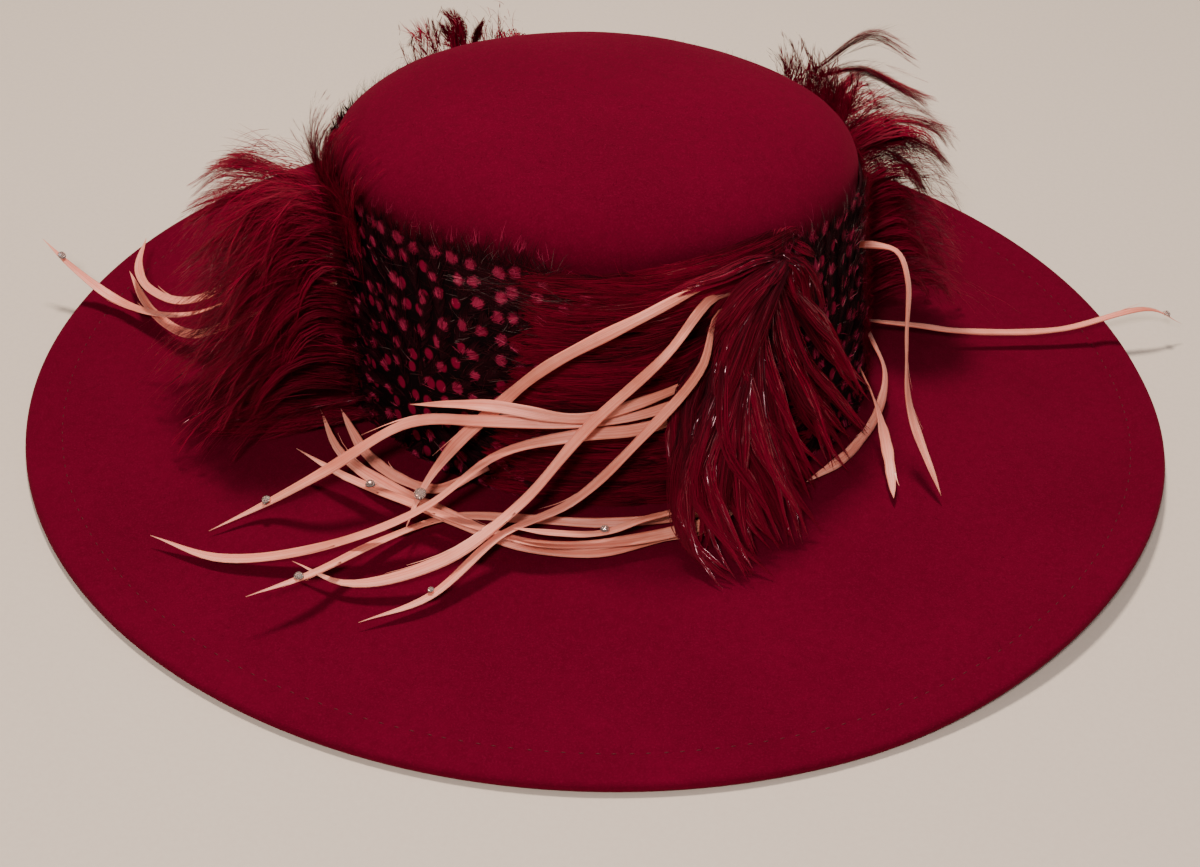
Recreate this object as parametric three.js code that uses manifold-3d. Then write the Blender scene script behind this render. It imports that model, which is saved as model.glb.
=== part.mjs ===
// A wide-brimmed wool-felt church hat with guinea-feather pads, hackle plumes and quill blades.
// Millimetres, +Z up. The hat rests on its brim at z = 0, with the crown's axis on the Z axis
// and its long side along X.
import * as THREE from 'three';
import Module from 'manifold-3d';

// Driving dimensions of the felt
const FELT = 2.4;
const ROOT_Z = 17.5; // top of the brim where it meets the crown
const WALL_HEIGHT = 98; // straight part of the crown, above the brim
const DOME_HEIGHT = 31; // rounded top, above the straight part
const DOME_POWER = 2.4; // 2 would be an ellipse, more is a squarer shoulder
const PLAN_POWER = 1.95; // the same for the crown seen from above
const BRIM_WIDTH = 127;
const BRIM_SHIFT = -4; // the brim is cut this much longer at its -X end
const BRIM_LIFT = 7; // rise of the edge where the front right of the brim stands off the table
const LIFT_AROUND = -28;
const LIFT_HALF_SPAN = 38;
const HEM_WIDTH = 15; // turned under and stitched down
const HEM_THICKNESS = 4.8;
const EDGE_ROUND = 1.5;
const DIP_DEPTH = 5; // soft dent in the back right of the crown's top
const DIP_AROUND = 60;

// Reach of the felt from the crown's axis at its foot and at its shoulder
const FOOT = { left: 102, right: 102, front: 84, back: 84 };
const SHOULDER = { left: 105, right: 91, front: 79, back: 76 };

// Feather trim: layers on the crown wall, measured outwards from the felt
const GAP = 0.4; // clearance between neighbouring pieces
const TRIM_LOW = 1; // above the brim
const TRIM_DEPTH = 3.5;
const PAD_HIGH = 103;
const SWEEP_HIGH = 102;
const STAND_OFF = 1.4; // the pads' top edge lies this much looser
const BACKING_IN = TRIM_DEPTH + GAP;
const BACKING_OUT = BACKING_IN + 3;
const LOCK_ROOT = BACKING_IN + 1.7;
const BLADE_THICKNESS = 0.8;
const BLADE_SEAT = TRIM_DEPTH + GAP + BLADE_THICKNESS / 2;
const BUTT_SEAT = TRIM_DEPTH + GAP; // for a blade that leaves the wall end on

// Mesh steps
const FELT_SEGMENTS = 52;
const BLADE_STEPS = 9;
const LOCK_STEPS = 5;

const CRIMSON = 0x7a0a22;
const DARK_CRIMSON = 0x56040f;
const GUINEA_BLACK = 0x1c0b10;
const PEACH = 0xe9a58c;
const CLEAR_STONE = 0xe8e6ea;

// Spotted guinea pads and flat hackle sweeps take turns round the crown wall (degrees from +X)
const PADS = [
  { name: 'guinea_pad_left_front', from: 201, to: 252 },
  { name: 'guinea_pad_right_front', from: 308, to: 348 },
  { name: 'guinea_pad_right_back', from: 52, to: 98 },
  { name: 'guinea_pad_left_back', from: 132, to: 173 },
];
const SWEEPS = [
  { name: 'hackle_sweep_front', from: 253, to: 307 },
  { name: 'hackle_sweep_right', from: 349, to: 411 },
  { name: 'hackle_sweep_back', from: 99, to: 131 },
  { name: 'hackle_sweep_left', from: 174, to: 200 },
];

// Each plume is a fan of locks from a strip on the wall. around is in degrees, the rest in
// millimetres: low and high bound the strip, tipLow and tipHigh are the tips' heights over the
// brim, reachFrom and reachTo how far out the lowest tips lie at the two ends of the fan, and
// topReach the share of that at the highest tips.
const PLUMES = [
  {
    name: 'hackle_plume_front', around: 302, low: 86, high: 94, from: 285, to: 320,
    tipLow: 7, tipHigh: 40, reachFrom: 54, reachTo: 30, topReach: 0.62, bow: 2, levels: 2, columns: 7,
  },
  {
    name: 'hackle_plume_right', around: 31, low: 24, high: 98, from: 15, to: 41,
    tipLow: 8, tipHigh: 116, reachFrom: 62, reachTo: 47, topReach: 0.54, bow: 13, levels: 5, columns: 3,
  },
  {
    name: 'hackle_plume_back', around: 122, low: 24, high: 96, from: 113, to: 133,
    tipLow: 8, tipHigh: 105, reachFrom: 52, reachTo: 52, topReach: 0.45, bow: 12, levels: 5, columns: 3,
  },
  {
    name: 'hackle_plume_left', around: 196, low: 24, high: 96, from: 183, to: 207,
    tipLow: 8, tipHigh: 99, reachFrom: 73, reachTo: 57, topReach: 0.78, bow: 12, levels: 5, columns: 3,
  },
];
const PLUME_STRIP_HALF = 4.5; // degrees
const LOCK_WIDTH = 11;
const LOCK_THICKNESS = 3;

// Quill blades. seat is where the blade is glued to the wall, as [around, height over the brim];
// route goes on from there as [around, out from the crown's foot, height over the brim].
const BLADES = [
  { name: 'quill_front_1', width: 5, seat: [293, 97],
    route: [[277, 9, 93], [259, 9.5, 68], [249, 10.5, 45], [243, 16, 30], [240, 28, 16], [241, 42, 10]] },
  { name: 'quill_front_2', width: 5, seat: [292, 90],
    route: [[280, 14, 79], [267, 18, 50], [257, 28, 21], [249, 51, 12], [239, 68, 6], [231, 71, 7]] },
  { name: 'quill_front_3', width: 4.6, seat: [293, 83],
    route: [[287, 11, 70], [277, 14, 44], [265, 18, 16], [255, 36, 13], [249, 61, 5], [243, 79, 3]] },
  { name: 'quill_front_4', width: 4.6, seat: [290, 56],
    route: [[276, 9, 54], [266, 13, 50], [250, 17, 53], [235, 20, 45]] },
  { name: 'quill_front_5', width: 6, seat: [290, 42],
    route: [[276, 9, 42], [265, 13, 42], [252, 19, 34], [243, 38, 19], [233, 62, 10],
      [223, 84, 4], [215, 97, 5]] },
  { name: 'quill_front_6', width: 5, seat: [290, 49],
    route: [[275, 9, 48], [262, 12, 46], [248, 15.5, 44], [234, 19, 35], [226, 44, 21],
      [220, 60, 7], [218, 79, 3]] },
  { name: 'quill_front_7', width: 4.6, seat: [298, 8],
    route: [[291, 13, 5], [284, 14, 4], [270, 15, 3], [257, 16, 2.5], [244, 23, 2],
      [238, 47, 6], [236, 76, 14], [233, 98, 16]] },
  { name: 'quill_front_8', width: 5.6, seat: [299, 16],
    route: [[292, 21, 9], [283, 24, 7], [270, 29, 7], [260, 33, 9], [250, 32, 11],
      [237, 31, 11], [225, 33, 10], [215, 38, 12]] },
  { name: 'quill_front_9', width: 5.6, seat: [296, 12],
    route: [[289, 20, 3.5], [281, 22, 3], [269, 29, 3], [257, 30, 4], [245, 27, 6],
      [231, 25, 6], [218, 24, 6], [206, 20, 10]] },
  { name: 'quill_front_10', width: 3.6, seat: [292, 22],
    route: [[285, 19, 15], [277, 23, 13], [270, 29, 12.5], [262, 32, 14], [256, 33, 14.5]] },
  { name: 'quill_front_11', width: 4.6, seat: [246, 11],
    route: [[238, 14, 3], [230, 17, 3], [220, 16, 4], [215, 15, 7], [209, 14, 11]] },
  { name: 'quill_right_1', width: 4.6, butt: true, seat: [341, 81],
    route: [[340, 10, 82], [338, 17, 73], [336, 21, 50], [333, 28, 25], [327, 52, 4]] },
  { name: 'quill_right_2', width: 3.6, butt: true, seat: [12, 14],
    route: [[12, 30, 10], [12, 49, 8], [13, 97, 8], [13, 137, 14], [13, 155.5, 4]] },
  { name: 'quill_right_3', width: 5, seat: [354, 27],
    route: [[350, 10, 14], [340, 12, 7], [325, 13, 4], [312, 13, 3]] },
  { name: 'quill_right_4', width: 4.6, seat: [341, 24],
    route: [[334, 14, 17], [328, 26, 9], [321, 40, 4]] },
  { name: 'quill_left_1', width: 5, butt: true, seat: [180, 43],
    route: [[177, 40, 28], [174, 72, 14], [167.5, 108, 6], [166, 130, 16], [165, 143.5, 24.5]] },
  { name: 'quill_left_2', width: 5, butt: true, seat: [182, 51],
    route: [[179, 40, 38], [175, 69, 23], [168, 93, 16], [162, 107, 13], [157, 114, 14]] },
  { name: 'quill_left_3', width: 5, butt: true, seat: [178, 34],
    route: [[176.5, 38, 19], [176, 66, 8], [169, 91, 6], [162, 112, 8]] },
  { name: 'quill_back_1', width: 5, seat: [110, 88],
    route: [[96, 12, 76], [82, 20, 46], [74, 44, 16], [66, 72, 6]] },
  { name: 'quill_back_2', width: 5, seat: [111, 48],
    route: [[98, 12, 44], [86, 30, 24], [79, 58, 9], [75, 86, 5]] },
  { name: 'quill_back_3', width: 5, seat: [112, 14],
    route: [[100, 14, 5], [86, 20, 4], [70, 24, 5], [58, 40, 10]] },
];

// Flat-backed stones. step is the place along the blade, counted in its steps.
const STONES = [
  { name: 'rhinestone_1', blade: 'quill_front_1', step: 8.2, diameter: 4.7 },
  { name: 'rhinestone_2', blade: 'quill_front_8', step: 7.4, diameter: 3.8 },
  { name: 'rhinestone_3', blade: 'quill_front_6', step: 7.9, diameter: 3.8 },
  { name: 'rhinestone_4', blade: 'quill_front_7', step: 8.1, diameter: 3.6 },
  { name: 'rhinestone_5', blade: 'quill_front_10', step: 5.5, diameter: 3.4 },
  { name: 'rhinestone_6', blade: 'quill_front_3', step: 7.6, diameter: 2.4 },
  { name: 'rhinestone_7', blade: 'quill_left_1', step: 8.4, diameter: 3.6 },
  { name: 'rhinestone_8', blade: 'quill_right_2', step: 8.4, diameter: 3.6 },
  { name: 'rhinestone_9', blade: 'quill_back_1', step: 7.6, diameter: 3.8 },
  { name: 'rhinestone_10', blade: 'quill_back_2', step: 7.6, diameter: 3.6 },
];
const STONE_HEIGHT = 0.45; // of the diameter
const STONE_TABLE = 0.55;
const STONE_GIRDLE = 0.12;
const STONE_SIDES = 8;
const STONE_GLUE = 0.2;

const wasm = await Module();
wasm.setup();

const radians = THREE.MathUtils.degToRad;
const mix = THREE.MathUtils.lerp;

// Height of the brim's top face, out millimetres from the crown's foot
function brimTop(around, out) {
  const share = THREE.MathUtils.clamp(out / (BRIM_WIDTH - HEM_WIDTH), 0, 1);
  const fall = share * share * (3 - 2 * share);
  const turn = (((around - LIFT_AROUND) % 360) + 540) % 360 - 180;
  const lifted = Math.max(0, 1 - (turn / LIFT_HALF_SPAN) ** 2) ** 2;
  return mix(ROOT_Z, HEM_THICKNESS, fall) + BRIM_LIFT * lifted * (out / BRIM_WIDTH) ** 2;
}

function brimPoint(around, out, z) {
  const t = radians(around);
  return new THREE.Vector3(
    (FOOT.right + out) * Math.cos(t) + (BRIM_SHIFT * out) / BRIM_WIDTH,
    (FOOT.front + out) * Math.sin(t),
    z,
  );
}

// A point over the brim: out from the crown's foot, up from the brim's top face
function onHat(around, out, up) {
  return brimPoint(around, out, brimTop(around, out) + up);
}

// Reach of the felt, and how much of the shoulder's reach is left on the rounded top
function crownSection(up, domeHeight = DOME_HEIGHT) {
  const above = THREE.MathUtils.clamp((up - WALL_HEIGHT) / domeHeight, 0, 1);
  const left = (1 - above ** DOME_POWER) ** (1 / DOME_POWER);
  const along = Math.min(1, up / WALL_HEIGHT);
  const reach = {};
  for (const side of Object.keys(FOOT)) reach[side] = mix(FOOT[side], SHOULDER[side], along);
  return { reach, left };
}

// A point on the crown at a height over the brim; offset is outwards, and inset thins the dome
function crownPoint(around, up, offset = 0, inset = 0) {
  const t = radians(around);
  const c = Math.cos(t);
  const s = Math.sin(t);
  const { reach, left } = crownSection(up, DOME_HEIGHT - inset);
  const plan = (Math.abs(c) ** PLAN_POWER + Math.abs(s) ** PLAN_POWER) ** (-1 / PLAN_POWER);
  const rx = ((c > 0 ? reach.right : reach.left) + offset - inset) * left;
  const ry = ((s > 0 ? reach.back : reach.front) + offset - inset) * left;
  const facing = Math.max(0, Math.cos(radians(around - DIP_AROUND)));
  const height = up / (WALL_HEIGHT + DOME_HEIGHT);
  const dip = DIP_DEPTH * facing ** 2 * height ** 3 * left ** 0.7;
  return new THREE.Vector3(rx * plan * c, ry * plan * s, ROOT_Z + up - dip);
}

// Joins rings of points into one closed surface; a ring of one point closes an end. Seen from
// beyond the first ring, each ring runs anticlockwise.
function loft(rings) {
  const positions = [];
  const starts = rings.map((ring) => {
    const start = positions.length / 3;
    for (const p of ring) positions.push(p.x, p.y, p.z);
    return start;
  });
  const index = [];
  for (let r = 0; r + 1 < rings.length; r++) {
    const [a, b] = [starts[r], starts[r + 1]];
    const [m, n] = [rings[r].length, rings[r + 1].length];
    const count = Math.max(m, n);
    for (let i = 0; i < count; i++) {
      const j = (i + 1) % count;
      if (m > 1) index.push(a + j, a + i, b + (n > 1 ? j : 0));
      if (n > 1) index.push(b + j, a + (m > 1 ? i : 0), b + i);
    }
  }
  const geometry = new THREE.BufferGeometry();
  geometry.setAttribute('position', new THREE.Float32BufferAttribute(positions, 3));
  geometry.setIndex(index);
  return geometry;
}

function mesh(name, geometry, color, roughness, metalness = 0) {
  const material = new THREE.MeshStandardMaterial({ color, roughness, metalness });
  const piece = new THREE.Mesh(geometry, material);
  piece.name = name;
  return piece;
}

function ringOf(pointAt) {
  return Array.from({ length: FELT_SEGMENTS }, (_, i) => pointAt((360 * i) / FELT_SEGMENTS));
}

// Crown and brim are one blocked felt shell, open below, with the brim's edge turned under
function feltBody() {
  const domeUps = [0.985, 0.93, 0.83, 0.7, 0.54, 0.36, 0.18].map((k) => WALL_HEIGHT + DOME_HEIGHT * k);
  const wallUps = [1, 0.75, 0.5, 0.25, 0].map((k) => WALL_HEIGHT * k);
  const brimOuts = [22, 45, 68, 90, BRIM_WIDTH - HEM_WIDTH];
  const top = WALL_HEIGHT + DOME_HEIGHT;
  const edgeOut = BRIM_WIDTH - EDGE_ROUND;
  const thick = HEM_THICKNESS;
  const brimRing = (out, below) => ringOf((a) => brimPoint(a, out, brimTop(a, out) - below));

  const outside = [
    [crownPoint(0, top)],
    ...domeUps.map((up) => ringOf((a) => crownPoint(a, up))),
    ...wallUps.map((up) => ringOf((a) => crownPoint(a, up))),
    ...brimOuts.map((out) => brimRing(out, 0)),
    brimRing(edgeOut, 0),
    brimRing(BRIM_WIDTH, EDGE_ROUND),
    brimRing(BRIM_WIDTH, thick - EDGE_ROUND),
    brimRing(edgeOut, thick),
  ];
  const hemInner = BRIM_WIDTH - HEM_WIDTH;
  const innerShift = 0.6;
  const inside = [
    brimRing(hemInner, thick),
    brimRing(hemInner - innerShift, FELT),
    ...brimOuts.slice(0, -1).reverse().map((out) => brimRing(out, FELT)),
    ringOf((a) => crownPoint(a, -FELT, 0, FELT)),
    ...[0.3, 0.65, 1].map((k) => ringOf((a) => crownPoint(a, WALL_HEIGHT * k, 0, FELT))),
    ...[0.36, 0.7, 0.93].map((k) =>
      ringOf((a) => crownPoint(a, WALL_HEIGHT + (DOME_HEIGHT - FELT) * k, 0, FELT))),
    [crownPoint(0, top - FELT, 0, FELT)],
  ];
  return loft([...outside, ...inside]);
}

// A curved patch lying on the crown wall. heights lists its rows; depthAt shapes its outer face,
// topAt its top edge, and looseness is how much further out that edge stands.
function wallPatch({ from, to, columns, heights, inner, depthAt, topAt = () => 0, looseness = 0 }) {
  const top = heights.length - 1;
  const point = (i, j, offset) => {
    const around = mix(from, to, i / columns);
    if (j < top) return crownPoint(around, heights[j], offset);
    return crownPoint(around, heights[top] + topAt(i), offset + looseness);
  };
  const rings = [];
  for (let i = 0; i <= columns; i++) {
    const outerSide = [];
    const innerSide = [];
    for (let j = 0; j <= top; j++) {
      outerSide.push(point(i, j, depthAt(i, j)));
      innerSide.unshift(point(i, j, inner));
    }
    rings.push([...outerSide, ...innerSide]);
  }
  return capped(rings);
}

// Closes both ends of a row of rings with a fan from the middle of the end ring
function capped(rings) {
  const middle = (ring) =>
    ring.reduce((sum, p) => sum.add(p), new THREE.Vector3()).divideScalar(ring.length);
  return loft([[middle(rings[0])], ...rings, [middle(rings.at(-1))]]);
}

// Rows of a patch: even steps to the shoulder, where the wall bends, and one more to the top
function rowsTo(top, steps) {
  const rows = Array.from({ length: steps }, (_, j) => mix(TRIM_LOW, WALL_HEIGHT, j / (steps - 1)));
  return [...rows, top];
}

function guineaPad({ name, from, to }) {
  const geometry = wallPatch({
    from, to, columns: 10, heights: rowsTo(PAD_HIGH, 6), inner: GAP, looseness: STAND_OFF,
    depthAt: (i, j) => TRIM_DEPTH - 0.3 * ((i + 2 * j) % 3), // overlapping feather tips
    topAt: (i) => (i % 2 ? 5 : 0), // barbs that stand over the edge
  });
  return mesh(name, geometry, GUINEA_BLACK, 0.7);
}

function hackleSweep({ name, from, to }) {
  const geometry = wallPatch({
    from, to, columns: Math.round((to - from) / 5.5), heights: rowsTo(SWEEP_HIGH, 7), inner: GAP,
    depthAt: (i, j) => TRIM_DEPTH - 0.18 + 0.18 * Math.sin(2.1 * j - 0.9 * i), // slanting locks
  });
  return mesh(name, geometry, DARK_CRIMSON, 0.4);
}

// A tapered strip along a path: sideAt gives the direction across it. A keeled strip is flat
// below and has one ridge above; the other kind has a ridge on both faces.
function strip(points, widthAt, thickness, sideAt, keeled = false) {
  const rings = points.map((p, k) => {
    const before = points[Math.max(0, k - 1)];
    const after = points[Math.min(points.length - 1, k + 1)];
    const along = after.clone().sub(before).normalize();
    const side = sideAt(k, along).projectOnPlane(along).normalize();
    const face = along.clone().cross(side);
    const share = k / (points.length - 1);
    if (share === 1) return [p];
    const half = widthAt(share) / 2;
    const rise = (thickness / 2) * (1 - 0.5 * share);
    const ring = [
      p.clone().addScaledVector(side, -half),
      p.clone().addScaledVector(face, rise),
      p.clone().addScaledVector(side, half),
    ];
    if (!keeled) ring.push(p.clone().addScaledVector(face, -rise));
    return ring;
  });
  return loft([[points[0].clone()], ...rings]);
}

function toSolid(geometry) {
  return new wasm.Manifold(new wasm.Mesh({
    numProp: 3,
    vertProperties: geometry.getAttribute('position').array,
    triVerts: Uint32Array.from(geometry.getIndex().array),
  }));
}

function fuse(geometries) {
  const solid = geometries.map(toSolid).reduce((sum, part) => sum.add(part));
  const { vertProperties, triVerts } = solid.getMesh();
  const geometry = new THREE.BufferGeometry();
  geometry.setAttribute('position', new THREE.BufferAttribute(vertProperties, 3));
  geometry.setIndex(new THREE.BufferAttribute(triVerts, 1));
  return geometry;
}

// One lock of a plume: level is 0 at the lowest and 1 at the highest, q is -1 to 1 along the fan
function plumeLock(plume, level, q) {
  const rootAround = plume.around + 0.6 * PLUME_STRIP_HALF * q;
  const rootUp = mix(plume.low, plume.high, level);
  const root = crownPoint(rootAround, rootUp, LOCK_ROOT);
  const fan = (q + 1) / 2;
  const tipAround = mix(plume.from, plume.to, fan);
  const tipOut = mix(plume.reachFrom, plume.reachTo, fan) * mix(1, plume.topReach, level);
  const tip = onHat(tipAround, tipOut, mix(plume.tipLow, plume.tipHigh, level));
  const points = [];
  for (let k = 0; k <= LOCK_STEPS; k++) {
    const s = k / LOCK_STEPS;
    const outShare = 0.5 * s + 0.5 * Math.sin((Math.PI / 2) * s);
    const upShare = 1 - Math.cos((Math.PI / 2) * s);
    points.push(new THREE.Vector3(
      mix(root.x, tip.x, outShare),
      mix(root.y, tip.y, outShare),
      mix(root.z, tip.z, upShare) + plume.bow * Math.sin(Math.PI * s),
    ));
  }
  const t = radians(mix(rootAround, tipAround, 0.5));
  const side = () => new THREE.Vector3(-Math.sin(t), Math.cos(t), 0);
  const widthAt = (s) => LOCK_WIDTH * (0.45 + 0.55 * Math.sin(Math.PI * Math.min(1, s * 1.15)));
  return strip(points, widthAt, LOCK_THICKNESS, side, true);
}

function hacklePlume(plume) {
  const backing = wallPatch({
    from: plume.around - PLUME_STRIP_HALF, to: plume.around + PLUME_STRIP_HALF, columns: 2,
    heights: [plume.low - 4, Math.min(plume.high + 3, WALL_HEIGHT)],
    inner: BACKING_IN, depthAt: () => BACKING_OUT,
  });
  const locks = [];
  for (let level = 0; level < plume.levels; level++) {
    for (let column = 0; column < plume.columns; column++) {
      const q = (2 * column) / (plume.columns - 1) - 1;
      const stagger = level % 2 ? 0.25 : -0.1;
      const turn = THREE.MathUtils.clamp(q + stagger, -1, 1);
      locks.push(plumeLock(plume, level / (plume.levels - 1), turn));
    }
  }
  return mesh(plume.name, fuse([backing, ...locks]), DARK_CRIMSON, 0.35);
}

// The flat of a blade faces outwards beside the crown and upwards over the brim
function bladeFace(point) {
  const outwards = new THREE.Vector3(point.x / FOOT.right ** 2, point.y / FOOT.front ** 2, 0).normalize();
  const out = Math.hypot(point.x / FOOT.right, point.y / FOOT.front) - 1;
  const flat = THREE.MathUtils.clamp(out / 0.35, 0, 1);
  return outwards.multiplyScalar(1 - flat).add(new THREE.Vector3(0, 0, 0.25 + flat)).normalize();
}

function bladePoints(blade) {
  const seat = crownPoint(blade.seat[0], blade.seat[1], blade.butt ? BUTT_SEAT : BLADE_SEAT);
  const curve = new THREE.CatmullRomCurve3(
    [seat, ...blade.route.map(([around, out, up]) => onHat(around, out, up))], false, 'centripetal');
  return curve.getSpacedPoints(BLADE_STEPS);
}

function quillBlade(blade) {
  const points = bladePoints(blade);
  const widthAt = (s) => blade.width * (0.45 + 0.55 * Math.sin(Math.PI * Math.min(1, 0.15 + 0.75 * s)));
  const side = (k, along) => bladeFace(points[k]).cross(along);
  return mesh(blade.name, strip(points, widthAt, BLADE_THICKNESS, side), PEACH, 0.45);
}

// A flat back, a girdle, a ring of facets and a table, in the stone's own frame
function stoneGeometry(diameter) {
  const radius = diameter / 2;
  const ring = (r, z) => Array.from({ length: STONE_SIDES }, (_, i) => {
    const t = (2 * Math.PI * i) / STONE_SIDES;
    return new THREE.Vector3(r * Math.cos(t), -r * Math.sin(t), z);
  });
  const girdle = STONE_GIRDLE * diameter;
  const height = STONE_HEIGHT * diameter;
  return loft([
    [new THREE.Vector3(0, 0, 0)],
    ring(radius * 0.94, 0),
    ring(radius, girdle),
    ring(radius * STONE_TABLE, height),
    [new THREE.Vector3(0, 0, height)],
  ]);
}

function rhinestone({ name, blade, step, diameter }) {
  const points = bladePoints(BLADES.find((b) => b.name === blade));
  const before = Math.floor(step);
  const along = points[before + 1].clone().sub(points[before]).normalize();
  const place = points[before].clone().lerp(points[before + 1], step - before);
  const face = bladeFace(place).projectOnPlane(along).normalize();
  const stone = mesh(name, stoneGeometry(diameter), CLEAR_STONE, 0.05);
  const lift = BLADE_THICKNESS / 2 + STONE_GLUE;
  stone.position.copy(place).addScaledVector(face, lift);
  stone.quaternion.setFromUnitVectors(new THREE.Vector3(0, 0, 1), face);
  return stone;
}

const hat = new THREE.Group();
hat.name = 'church_hat';
hat.add(mesh('felt_hat_body', feltBody(), CRIMSON, 0.9));
for (const pad of PADS) hat.add(guineaPad(pad));
for (const sweep of SWEEPS) hat.add(hackleSweep(sweep));
for (const plume of PLUMES) hat.add(hacklePlume(plume));
for (const blade of BLADES) hat.add(quillBlade(blade));
for (const stone of STONES) hat.add(rhinestone(stone));

export default hat;
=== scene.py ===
# %% [markdown]
# # A wool-felt church hat with a feather band
#
# The hat is one blocked shell of felt: a crown, a wide brim and a hem that is turned under and
# stitched. Round the crown goes a band of feathers. Spotted guinea feathers and dark hackles
# take turns there, hackle plumes stand out from it, and long peach quill blades sweep over the
# brim with a cut stone on some of them.
#
# The lesson builds each piece in the place that the CAD frame gives it. Sizes are in
# millimetres while we work, and each mesh is turned into metres as it is made.

# %% The frame
import math

import bpy
import numpy as np
from mathutils import Matrix, Vector, noise


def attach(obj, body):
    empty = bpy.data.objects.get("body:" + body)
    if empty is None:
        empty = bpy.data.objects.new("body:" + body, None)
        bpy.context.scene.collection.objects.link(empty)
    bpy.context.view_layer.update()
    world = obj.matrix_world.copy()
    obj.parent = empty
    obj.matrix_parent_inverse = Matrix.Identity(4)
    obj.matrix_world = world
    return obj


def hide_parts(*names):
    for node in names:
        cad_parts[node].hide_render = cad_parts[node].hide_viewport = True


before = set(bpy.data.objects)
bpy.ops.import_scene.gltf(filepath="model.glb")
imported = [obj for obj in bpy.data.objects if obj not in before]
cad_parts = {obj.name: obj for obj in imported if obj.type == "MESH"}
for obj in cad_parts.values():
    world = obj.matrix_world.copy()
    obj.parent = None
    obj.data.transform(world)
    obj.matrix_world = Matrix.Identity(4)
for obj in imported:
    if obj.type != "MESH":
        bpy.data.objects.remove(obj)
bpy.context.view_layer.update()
print("CAD nodes:", len(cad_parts))

# %% [markdown]
# ## The shape of the felt
#
# A hat like this is steamed and pulled over a wooden block, so its shape is a few smooth rules,
# not a pile of points. The crown's wall leans a little, its top is a superellipse, and the brim
# falls in one soft S from the crown to the table. We write those rules once, for whole arrays
# of points, and use them for the felt and for everything that is glued to it.

# %% Sizes of the felt, in millimetres
FELT = 2.4
ROOT_Z = 17.5
WALL_HEIGHT = 98.0
DOME_HEIGHT = 31.0
DOME_POWER = 2.4
PLAN_POWER = 1.95
BRIM_WIDTH = 127.0
BRIM_SHIFT = -4.0
BRIM_LIFT = 7.0
LIFT_AROUND = -28.0
LIFT_HALF_SPAN = 38.0
HEM_WIDTH = 15.0
HEM_THICKNESS = 4.8
DIP_DEPTH = 5.0
DIP_AROUND = 60.0
FOOT = {"left": 102.0, "right": 102.0, "front": 84.0, "back": 84.0}
SHOULDER = {"left": 105.0, "right": 91.0, "front": 79.0, "back": 76.0}


def mix(a, b, t):
    """From a at t = 0 to b at t = 1."""
    return a + (b - a) * t


def unit(v):
    """Vectors of length one, for an array whose last axis is x, y, z."""
    return v / np.maximum(np.linalg.norm(v, axis=-1, keepdims=True), 1e-9)


def points(x, y, z):
    """Arrays or numbers x, y and z as one array of points."""
    return np.stack(np.broadcast_arrays(x, y, z), axis=-1).astype(float)


# %% Brim and crown as rules
def brim_top(around, out):
    """Height of the brim's top face, out millimetres from the crown's foot."""
    share = np.clip(out / (BRIM_WIDTH - HEM_WIDTH), 0, 1)
    fall = share * share * (3 - 2 * share)
    turn = (np.asarray(around) - LIFT_AROUND + 540) % 360 - 180
    lifted = np.clip(1 - (turn / LIFT_HALF_SPAN) ** 2, 0, 1) ** 2
    return mix(ROOT_Z, HEM_THICKNESS, fall) + BRIM_LIFT * lifted * (out / BRIM_WIDTH) ** 2


def on_hat(around, out, up):
    """A point over the brim: out from the crown's foot, up from the brim's top face."""
    t = np.radians(around)
    x = (FOOT["right"] + out) * np.cos(t) + BRIM_SHIFT * out / BRIM_WIDTH
    y = (FOOT["front"] + out) * np.sin(t)
    return points(x, y, brim_top(around, out) + up)


def crown_point(around, up, offset=0.0, inset=0.0):
    """A point on the crown, up from the brim. offset is outwards, inset thins the dome."""
    t = np.radians(around)
    c, s = np.cos(t), np.sin(t)
    along = np.clip(np.asarray(up) / WALL_HEIGHT, None, 1)
    above = np.clip((np.asarray(up) - WALL_HEIGHT) / (DOME_HEIGHT - inset), 0, 1)
    left = (1 - above**DOME_POWER) ** (1 / DOME_POWER)
    side_x = np.where(c > 0, mix(FOOT["right"], SHOULDER["right"], along),
                      mix(FOOT["left"], SHOULDER["left"], along))
    side_y = np.where(s > 0, mix(FOOT["back"], SHOULDER["back"], along),
                      mix(FOOT["front"], SHOULDER["front"], along))
    plan = (np.abs(c) ** PLAN_POWER + np.abs(s) ** PLAN_POWER) ** (-1 / PLAN_POWER)
    facing = np.clip(np.cos(np.radians(np.asarray(around) - DIP_AROUND)), 0, 1)
    height = np.clip(np.asarray(up) / (WALL_HEIGHT + DOME_HEIGHT), 0, 1)
    dip = DIP_DEPTH * facing**2 * height**3 * left**0.7
    x = (side_x + offset - inset) * left * plan * c
    y = (side_y + offset - inset) * left * plan * s
    return points(x, y, ROOT_Z + np.asarray(up) - dip)


print("crown top", crown_point(0.0, WALL_HEIGHT + DOME_HEIGHT))
print("brim edge", on_hat(270.0, BRIM_WIDTH, 0.0))

# %% [markdown]
# ## From numbers to meshes
#
# A feather is hundreds of thin barbs, and a hat has tens of thousands of them. Adding them one
# by one with operators would take minutes, so every piece is worked out as arrays and handed to
# Blender in one go. Each corner also gets a UV pair: for barbs and fibres it holds a chance
# value, which makes one strand lighter than the next, and how far along the strand we are.

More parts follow.
